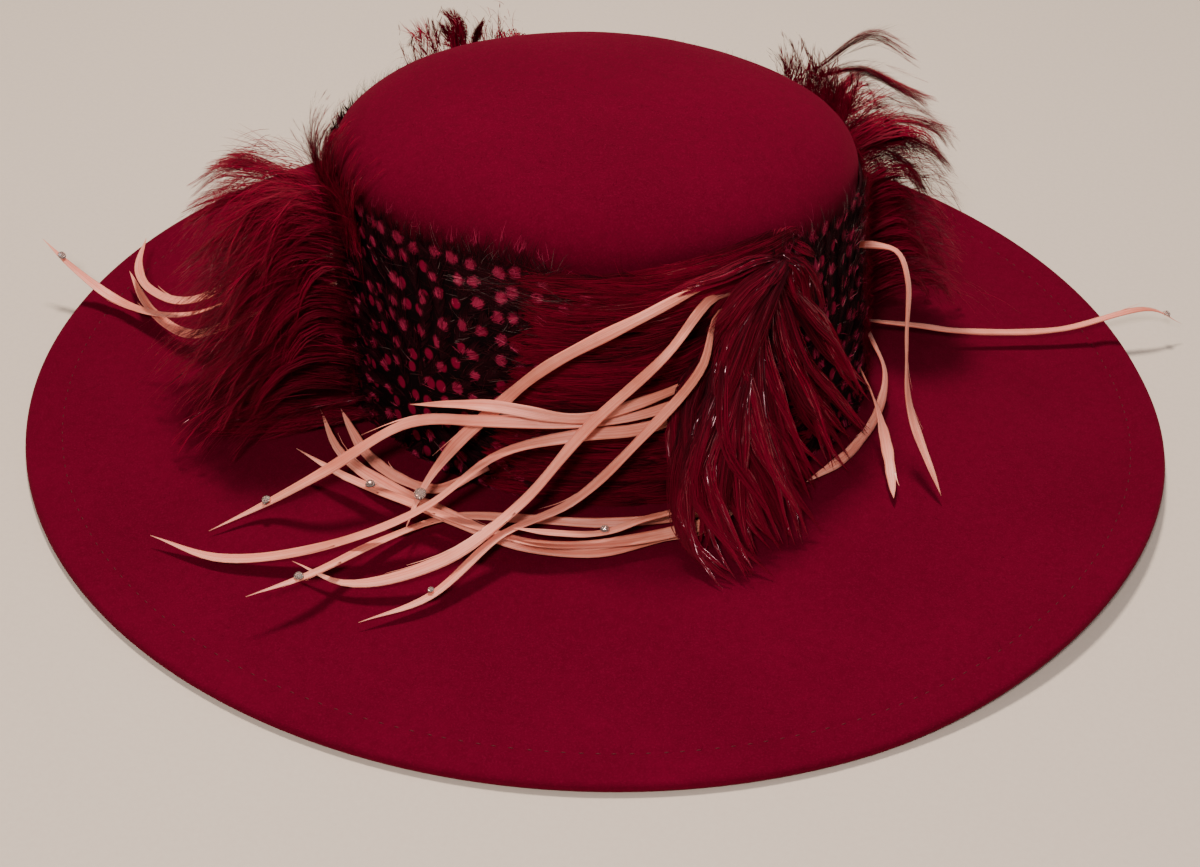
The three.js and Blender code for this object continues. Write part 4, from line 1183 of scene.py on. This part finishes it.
def fluffy_plume(node, plan):
    """Traced feathers for the outline, arched ones for the mass, and a crest on the crown's edge."""
    plume = PLUMES[node]
    chance = np.random.default_rng(plan["seed"])
    groups = []
    for number in range(plan["outer"]):
        arc = number % len(plan["arcs"])
        beside = min(arc + 1, len(plan["arcs"]) - 1)
        share = chance.choice([chance.uniform(0, 0.12), chance.uniform(0, 1)], p=[0.65, 0.35])
        path = mix(traced(plan["arcs"][arc], chance, 1.0), traced(plan["arcs"][beside], chance, 1.0), share)
        looks = sky_side(path)
        length = plan["barb"] * chance.uniform(0.7, 1.1)
        strands = barbs(path, looks, length, 34, chance, angle=22.0, width=0.16, steps=5, first=0.02,
                        bunch=0.8, lift=1.4, tone=chance.uniform(0.35, 0.7), gloss=0.04)
        groups.append(above_brim(strands))
        groups.append(shaft_ribbon(path, looks, 0.45, 0.2))
    for places in plan["arcs"] * 3:
        path = traced(places, chance, 1.2)
        groups.append(above_brim(lock(path, sky_side(path), 30, 2.0, 1.2, chance, steps=6, late=0.7,
                                      tone=chance.uniform(0.35, 0.6), width=0.17, gloss=0.04, gather=0.5)))
    level = chance.uniform(0, 1, plan["feathers"]) ** 1.2
    fan = chance.uniform(0, 1, plan["feathers"])
    for path, height in zip(arches(plume, level, fan, chance), level):
        looks = sky_side(path)
        length = plan["barb"] * chance.uniform(0.9, 1.3)
        # painted light and shade: feathers higher in the plume get a lighter tone, lower ones a darker one
        strands = barbs(path, looks, length, 32, chance, angle=32.0, width=0.24, steps=5, first=0.02,
                        bunch=0.25, lift=2.2, tone=plume["tone"] + 0.25 * height, gloss=0.015)
        groups.append(above_brim(strands))
    level = chance.uniform(0, 0.9, plan["locks"])
    fan = chance.uniform(0, 1, plan["locks"])
    for path, height in zip(arches(plume, level, fan, chance, (0.5, 0.95), 12.0), level):
        # painted light and shade: locks higher in the plume get a lighter tone
        groups.append(above_brim(lock(path, sky_side(path), 56, 6.0, 3.0, chance, steps=6, late=0.5,
                                      tone=plume["tone"] - 0.05 + 0.2 * height, width=0.32, gloss=0.0,
                                      gather=0.2, mixed=0.06)))
    groups.append(haze(plume, plan["haze"], chance))
    for _ in range(plan["crest"]):
        around = chance.uniform(*plan["crest_around"])
        lean = plan["crest_lean"] + chance.normal(0, 4)
        knots = np.array([[along_wall(around), chance.uniform(*plan["crest_root"]), 3.5],
                          [along_wall(around + lean * 0.4), chance.uniform(96, 101), 7.0],
                          [along_wall(around + lean), chance.uniform(104, 117), chance.uniform(5, 16)]])
        path, looks = wrap(evenly(centripetal(knots), 10))
        groups.append(barbs(path, looks, 10.0, 16, chance, angle=20.0, width=0.23, steps=4, first=0.1,
                            lift=1.5, tone=chance.uniform(0.4, 0.7), gloss=0.04))
    make_feathers(node, [ribbons(*group) for group in groups], hackle_matt, hackle_glossy)


FLUFFY = {
    "hackle_plume_right": {"arcs": RIGHT_ARCS, "outer": 60, "barb": 12.0, "feathers": 56, "locks": 44,
                           "haze": 2600, "crest": 110, "crest_around": (25, 47), "crest_lean": -1,
                           "crest_root": (60, 92), "seed": 52},
    "hackle_plume_back": {"arcs": BACK_ARCS, "outer": 12, "barb": 9.0, "feathers": 28, "locks": 16,
                          "haze": 1000, "crest": 20, "crest_around": (112, 134), "crest_lean": 3,
                          "crest_root": (50, 90), "seed": 53},
    "hackle_plume_left": {"arcs": LEFT_ARCS, "outer": 54, "barb": 14.0, "feathers": 56, "locks": 46,
                          "haze": 3000, "crest": 150, "crest_around": (186, 213), "crest_lean": -3,
                          "crest_root": (62, 92), "seed": 54},
}
for node, plan in FLUFFY.items():
    fluffy_plume(node, plan)

# %% [markdown]
# ## Quill blades
#
# The blades carry the hat's rhythm: they cross over and under each other and end in long
# points. Each one is a smooth curve through a few places, given as degrees round the crown,
# millimetres out from its foot and millimetres over the brim. It starts at its seat on the
# crown's wall, in degrees and millimetres up, and the roots of some front blades are tucked a few
# degrees under the plume. A curve object with a bevel could make a strip, but not one with a rib
# along one edge and a thin vane on the other, so the section is swept in code.

# %% Where each blade runs
BLADE_TABLE = [
    ("quill_front_1", (293, 97), 6, 5.0, [(277, 9, 93), (259, 9.5, 68), (249, 10.5, 45), (243, 16, 30),
     (240, 28, 16), (241, 42, 10)]),
    ("quill_front_2", (292, 90), 6, 5.0, [(280, 14, 79), (267, 18, 50), (257, 28, 21), (249, 51, 12),
     (239, 68, 6), (231, 71, 7)]),
    ("quill_front_3", (293, 83), 5, 4.6, [(287, 11, 70), (277, 14, 44), (265, 18, 16), (255, 36, 13),
     (249, 61, 5), (243, 79, 3)]),
    ("quill_front_4", (290, 56), 4, 4.6, [(276, 9, 54), (266, 13, 50), (250, 17, 53), (235, 20, 45)]),
    ("quill_front_5", (290, 42), 4, 6.0, [(276, 9, 42), (265, 13, 42), (252, 19, 34), (243, 38, 19),
     (233, 62, 10), (223, 84, 4), (215, 97, 5)]),
    ("quill_front_6", (290, 49), 4, 5.0, [(275, 9, 48), (262, 12, 46), (248, 15.5, 44), (234, 19, 35),
     (226, 44, 21), (220, 60, 7), (218, 79, 3)]),
    ("quill_front_7", (298, 8), 0, 4.6, [(291, 13, 5), (284, 14, 4), (270, 15, 3), (257, 16, 2.5),
     (244, 23, 2), (238, 47, 6), (236, 76, 14), (233, 98, 16)]),
    ("quill_front_8", (299, 16), 0, 5.6, [(292, 21, 9), (283, 24, 7), (270, 29, 7), (260, 33, 9),
     (250, 32, 11), (237, 31, 11), (225, 33, 10), (215, 38, 12)]),
    ("quill_front_9", (296, 12), 0, 5.6, [(289, 20, 3.5), (281, 22, 3), (269, 29, 3), (257, 30, 4),
     (245, 27, 6), (231, 25, 6), (218, 24, 6), (206, 20, 10)]),
    ("quill_front_10", (292, 22), 0, 3.6, [(285, 19, 15), (277, 23, 13), (270, 29, 12.5), (262, 32, 14),
     (256, 33, 14.5)]),
    ("quill_front_11", (246, 11), 0, 4.6, [(238, 14, 3), (230, 17, 3), (220, 16, 4), (215, 15, 7),
     (209, 14, 11)]),
    ("quill_right_1", (341, 81), 0, 4.6, [(340, 10, 82), (338, 17, 73), (336, 21, 50), (333, 28, 25),
     (327, 52, 4)]),
    ("quill_right_2", (12, 14), 0, 3.6, [(12, 30, 10), (12, 49, 8), (13, 97, 8), (13, 137, 14),
     (13, 155.5, 4)]),
    ("quill_right_3", (354, 27), 0, 5.0, [(350, 10, 14), (340, 12, 7), (325, 13, 4), (312, 13, 3)]),
    ("quill_right_4", (341, 24), 0, 4.6, [(334, 14, 17), (328, 26, 9), (321, 40, 4)]),
    ("quill_left_1", (180, 43), 0, 5.0, [(177, 40, 28), (174, 72, 14), (167.5, 108, 6), (166, 130, 16),
     (165, 143.5, 24.5)]),
    ("quill_left_2", (182, 51), 0, 5.0, [(179, 40, 38), (175, 69, 23), (168, 93, 16), (162, 107, 13),
     (157, 114, 14)]),
    ("quill_left_3", (178, 34), 0, 5.0, [(176.5, 38, 19), (176, 66, 8), (169, 91, 6), (162, 112, 8)]),
    ("quill_back_1", (110, 88), 0, 5.0, [(96, 12, 76), (82, 20, 46), (74, 44, 16), (66, 72, 6)]),
    ("quill_back_2", (111, 48), 0, 5.0, [(98, 12, 44), (86, 30, 24), (79, 58, 9), (75, 86, 5)]),
    ("quill_back_3", (112, 14), 0, 5.0, [(100, 14, 5), (86, 20, 4), (70, 24, 5), (58, 40, 10)]),
]
BLADE_KEYS = "name", "seat", "tuck", "width", "route"
BLADES = [dict(zip(BLADE_KEYS, row)) for row in BLADE_TABLE]
BLADE_SEAT = 4.3


def blade_path(blade, count, tuck=False):
    """The blade's centre line."""
    around, up = blade["seat"]
    tucked = [crown_point(around + blade["tuck"], up + 1, BLADE_SEAT)] if tuck and blade["tuck"] else []
    knots = tucked + [crown_point(around, up, BLADE_SEAT)] + [on_hat(*place) for place in blade["route"]]
    return evenly(centripetal(np.array(knots)), count)


def blade_face(path):
    """The flat of a blade looks outwards beside the crown and upwards over the brim."""
    outwards = unit(path / np.array([FOOT["right"] ** 2, FOOT["front"] ** 2, np.inf]))
    out = np.hypot(path[:, 0] / FOOT["right"], path[:, 1] / FOOT["front"]) - 1
    flat = np.clip(out / 0.35, 0, 1)[:, None]
    return unit(outwards * (1 - flat) + SKY * (0.25 + flat))


# %% Sweep the section along it
BLADE_RINGS = 50
BLADE_HALF = 0.45  # half of the strip, as a share of the blade's width
RIB_AT = -0.72  # where the rib runs, from -1 at one edge to 1 at the other
SECTION_ACROSS = np.linspace(-1, 1, 8)


def blade_mesh(blade, chance):
    """The blade as a closed strip with a rib, and slivers that split off near its tip."""
    path = blade_path(blade, BLADE_RINGS, tuck=True)
    s = np.linspace(0, 1, BLADE_RINGS)
    along = unit(np.gradient(path, axis=0))
    face = blade_face(path)
    side = unit(np.cross(face, along))
    face = unit(np.cross(along, side))
    phase = chance.uniform(0, 6)
    twist = ((0.4 * np.sin(4.2 * s + phase) + 0.18 * np.sin(9 * s + 2 * phase)) * (1 - 0.8 * s**3))[:, None]
    side, face = side * np.cos(twist) + face * np.sin(twist), face * np.cos(twist) - side * np.sin(twist)
    swell = 0.56 + 0.46 * np.sin(np.pi * (0.08 + 0.56 * s))
    taper = 1 - np.clip((s - 0.74) / 0.26, 0, 1) ** 2
    uneven_edge = 1 + 0.07 * np.sin(17 * s + phase) + 0.05 * np.sin(41 * s + 3 * phase)
    widest = blade["width"] * BLADE_HALF
    half = widest * np.clip(swell * taper * uneven_edge, 0.03, None)
    rib = 0.42 * np.exp(-(((SECTION_ACROSS - RIB_AT) / 0.24) ** 2))
    top = rib + 0.16 * (1 - SECTION_ACROSS**2) - 0.1 * np.exp(-(((SECTION_ACROSS + 0.2) / 0.2) ** 2))
    bottom = -0.16 - 0.22 * np.exp(-(((SECTION_ACROSS - RIB_AT) / 0.3) ** 2))
    u = np.concatenate([SECTION_ACROSS, SECTION_ACROSS[::-1]])
    thick = np.concatenate([top, bottom[::-1]])
    thin = np.clip(half / widest, 0.12, 1)
    verts = path[:, None] + side[:, None] * (u[None, :] * half[:, None])[..., None]
    curl = 0.5 * np.sin(3.1 * s + 1.7 * phase)[:, None] * u[None, :] ** 2
    verts = verts + face[:, None] * ((thick[None, :] + curl) * thin[:, None])[..., None]
    uv = np.stack(np.broadcast_arrays(u[None, :] * 0.5 + 0.5, s[:, None]), axis=-1)
    ring = len(u)
    faces = grid_faces(BLADE_RINGS, ring, wrap=True)
    half_ring = ring // 2
    strips = np.arange(half_ring - 1)
    end = np.stack([strips, strips + 1, ring - 2 - strips, ring - 1 - strips], axis=-1)
    faces = np.concatenate([faces, end[:, ::-1], end + (BLADE_RINGS - 1) * ring])
    return (verts.reshape(-1, 3), faces, uv.reshape(-1, 2)), (path, side, face, half)


def slivers(frame_of_blade, chance, count):
    """Thin splinters that leave the blade's edges and run on beside it."""
    path, side, face, half = frame_of_blade
    steps = 6
    paths, looks, widths = [], [], []
    for _ in range(count):
        begin = int(BLADE_RINGS * chance.uniform(0.5, 0.82))
        span = int(BLADE_RINGS * chance.uniform(0.08, 0.16))
        where = np.linspace(begin, begin + span, steps)
        edge = chance.choice([-1.0, 1.0])
        t = np.linspace(0, 1, steps)[:, None]
        centre = sample(path, np.arange(BLADE_RINGS), where)
        drift = side[begin] * edge * (half[begin] * 0.8 + t**1.6 * chance.uniform(0.4, 2.6))
        rise = face[begin] * t**1.5 * chance.uniform(-0.6, 1.6)
        paths.append(centre + drift + rise)
        looks.append(np.repeat(face[begin][None], steps, axis=0))
        widths.append(np.linspace(chance.uniform(0.4, 0.9), 0.05, steps))
    group = (np.array(paths), np.array(looks), np.array(widths), np.full(count, 0.6))
    return ribbons(*above_brim(group, 0.3))


SLIVERS = {"quill_front_2": 5, "quill_front_8": 5, "quill_front_7": 3, "quill_right_1": 3, "quill_front_9": 2}
for number, blade in enumerate(BLADES):
    chance = np.random.default_rng(70 + number)
    solid, frame_of_blade = blade_mesh(blade, chance)
    loose = slivers(frame_of_blade, chance, SLIVERS.get(blade["name"], 1))
    verts, faces, uv = join_parts([solid, loose])
    piece = make_piece(blade["name"] + "_blade", verts, faces, {"strand": uv}, [quill_material])
    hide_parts(blade["name"])

# %% [markdown]
# ## Rhinestones
#
# Each stone is a small flat-backed crystal glued near the end of a blade. It has an eight-sided
# table, a ring of crown facets below it and sixteen corners at the girdle. Facets must stay
# flat, so this is the one piece that isn't shaded smooth. The foil is a shallow cup behind the
# crystal in the same object, with its own material.

# %% Cut stones on the blades
STONES = [  # name, blade, ninths of the way along it, diameter
    ("rhinestone_1", "quill_front_1", 8.2, 4.7),
    ("rhinestone_2", "quill_front_8", 7.4, 3.8),
    ("rhinestone_3", "quill_front_6", 7.9, 3.8),
    ("rhinestone_4", "quill_front_7", 8.1, 3.6),
    ("rhinestone_5", "quill_front_10", 5.5, 3.4),
    ("rhinestone_6", "quill_front_3", 7.6, 2.4),
    ("rhinestone_7", "quill_left_1", 8.4, 3.6),
    ("rhinestone_8", "quill_right_2", 8.4, 3.6),
    ("rhinestone_9", "quill_back_1", 7.6, 3.8),
    ("rhinestone_10", "quill_back_2", 7.6, 3.6),
]
GIRDLE = 16
# each ring: its share of the radius, its height in radii, its corners and its turn in degrees
STONE_RINGS = [(0.0, 0.0, 16, 0.0), (0.95, 0.0, 16, 0.0), (1.0, 0.24, 16, 0.0), (0.8, 0.62, 8, 22.5),
               (0.52, 0.9, 8, 0.0), (0.0, 0.9, 8, 0.0)]
FOIL_RINGS = [(0.0, -0.1, 16, 0.0), (0.9, -0.1, 16, 0.0), (1.02, 0.14, 16, 0.0), (0.97, 0.14, 16, 0.0),
              (0.9, -0.03, 16, 0.0), (0.0, -0.03, 16, 0.0)]
BLADE_STEPS = 9
STONE_LIFT = 0.5


def cut_triangles(rings, radius):
    """Rings of 16 or 8 corners joined by flat triangles, in the stone's own frame."""
    corners = []
    for share, height, sides, turn in rings:
        angles = np.radians(np.repeat(np.arange(sides) * 360.0 / sides + turn, GIRDLE // sides))
        corners.append(radius * points(share * np.cos(angles), share * np.sin(angles), height))
    verts = np.concatenate(corners)
    quads = grid_faces(len(corners), GIRDLE, wrap=True)
    tris = np.concatenate([quads[:, [0, 1, 2]], quads[:, [0, 2, 3]]])
    first, second, third = (verts[tris[:, k]] for k in range(3))
    area = np.linalg.norm(np.cross(second - first, third - first), axis=1)
    return verts, tris[area > 1e-6]


for name, blade_name, step, diameter in STONES:
    blade = next(b for b in BLADES if b["name"] == blade_name)
    path = blade_path(blade, BLADE_STEPS + 1)
    before = int(step)
    along = unit(path[before + 1] - path[before])
    place_on_blade = mix(path[before], path[before + 1], step - before)
    face = blade_face(place_on_blade[None])[0]
    face = unit(face - along * float(face @ along))
    across = np.cross(face, along)
    gem, gem_faces = cut_triangles(STONE_RINGS, diameter / 2)
    cup, cup_faces = cut_triangles(FOIL_RINGS, diameter / 2)
    local = np.concatenate([gem, cup]) + np.array([0.0, 0.0, STONE_LIFT])
    verts = place_on_blade + along * local[:, :1] + across * local[:, 1:2] + face * local[:, 2:]
    faces = np.concatenate([gem_faces, cup_faces + len(gem)])
    which = np.concatenate([np.zeros(len(gem_faces)), np.ones(len(cup_faces))])
    piece = make_piece(name + "_cut", verts, faces, {"strand": np.zeros((len(verts), 2))},
                       [crystal_material, foil_material], which, smooth=False)
    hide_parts(name)

# %% [markdown]
# ## Floor, light and camera
#
# The hat lies on plain pale paper. The main light hangs above and a little behind, as a ceiling
# lamp does, so shadows fall towards the viewer. A smaller lamp in front is what the glossy barbs
# glint in, and a broad soft one at the right fills the shadows a little. The camera looks down
# at 39 degrees with a slight roll and a long lens, which keeps the brim's ellipse as calm as it
# is to the eye at arm's length.

# %% The floor
FLOOR_HALF = 15.0
FLOOR_Z = -0.00025
floor_corners = [(FLOOR_HALF * x, FLOOR_HALF * y, FLOOR_Z) for x, y in ((-1, -1), (1, -1), (1, 1), (-1, 1))]
# the floor is metres wide, so that no edge of it shows from any side
floor_mesh = bpy.data.meshes.new("floor")
floor_mesh.from_pydata(floor_corners, [], [(0, 1, 2, 3)])
floor_mesh.materials.append(paper_material)
floor = bpy.data.objects.new("floor", floor_mesh)
bpy.context.scene.collection.objects.link(floor)

# %% Lights
LIGHTS = [  # name, place, diameter of the disk, watts, colour
    ("ceiling_lamp", (-0.12, 0.35, 1.45), 0.24, 27.0, "#FFF1E2"),
    ("front_lamp", (-0.15, -0.95, 0.95), 0.15, 11.0, "#FFF6EE"),
    ("soft_right", (1.4, 0.2, 1.0), 1.2, 4.0, "#F4F2FF"),
]
AIM = Vector((0, 0, 0.04))
for name, place_of_light, size, watts, colour in LIGHTS:
    lamp = bpy.data.lights.new(name, "AREA")
    lamp.shape = "DISK"
    lamp.size = size
    lamp.energy = watts
    lamp.color = linear(colour)[:3]
    holder = bpy.data.objects.new(name, lamp)
    holder.location = place_of_light
    holder.rotation_euler = (AIM - Vector(place_of_light)).to_track_quat("-Z", "Y").to_euler()
    bpy.context.scene.collection.objects.link(holder)
world = bpy.data.worlds.new("studio")
world.use_nodes = True
world.node_tree.nodes["Background"].inputs["Color"].default_value = linear("#EDE9E4")
world.node_tree.nodes["Background"].inputs["Strength"].default_value = 0.2
bpy.context.scene.world = world

# %% Camera
ELEVATION = math.radians(39.4)
ROLL = math.radians(1.96)
DISTANCE = 0.8
TARGET = Vector((-0.002, -0.025, 0.0015))
FOCAL_PIXELS = 1993.0
IMAGE_WIDTH = 1200.0
SENSOR = 36.0
forward = Vector((0, math.cos(ELEVATION), -math.sin(ELEVATION)))
level_up = Vector((0, math.sin(ELEVATION), math.cos(ELEVATION)))
level_right = Vector((1, 0, 0))
right = level_right * math.cos(ROLL) + level_up * math.sin(ROLL)
upward = level_up * math.cos(ROLL) - level_right * math.sin(ROLL)
camera_data = bpy.data.cameras.new("camera")
camera_data.sensor_width = SENSOR
camera_data.lens = FOCAL_PIXELS * SENSOR / IMAGE_WIDTH
camera = bpy.data.objects.new("camera", camera_data)
turn = Matrix((right, upward, -forward)).transposed()
camera.matrix_world = Matrix.Translation(TARGET - forward * DISTANCE) @ turn.to_4x4()
bpy.context.scene.collection.objects.link(camera)
bpy.context.scene.camera = camera
print("lens", round(camera_data.lens, 1), "mm")
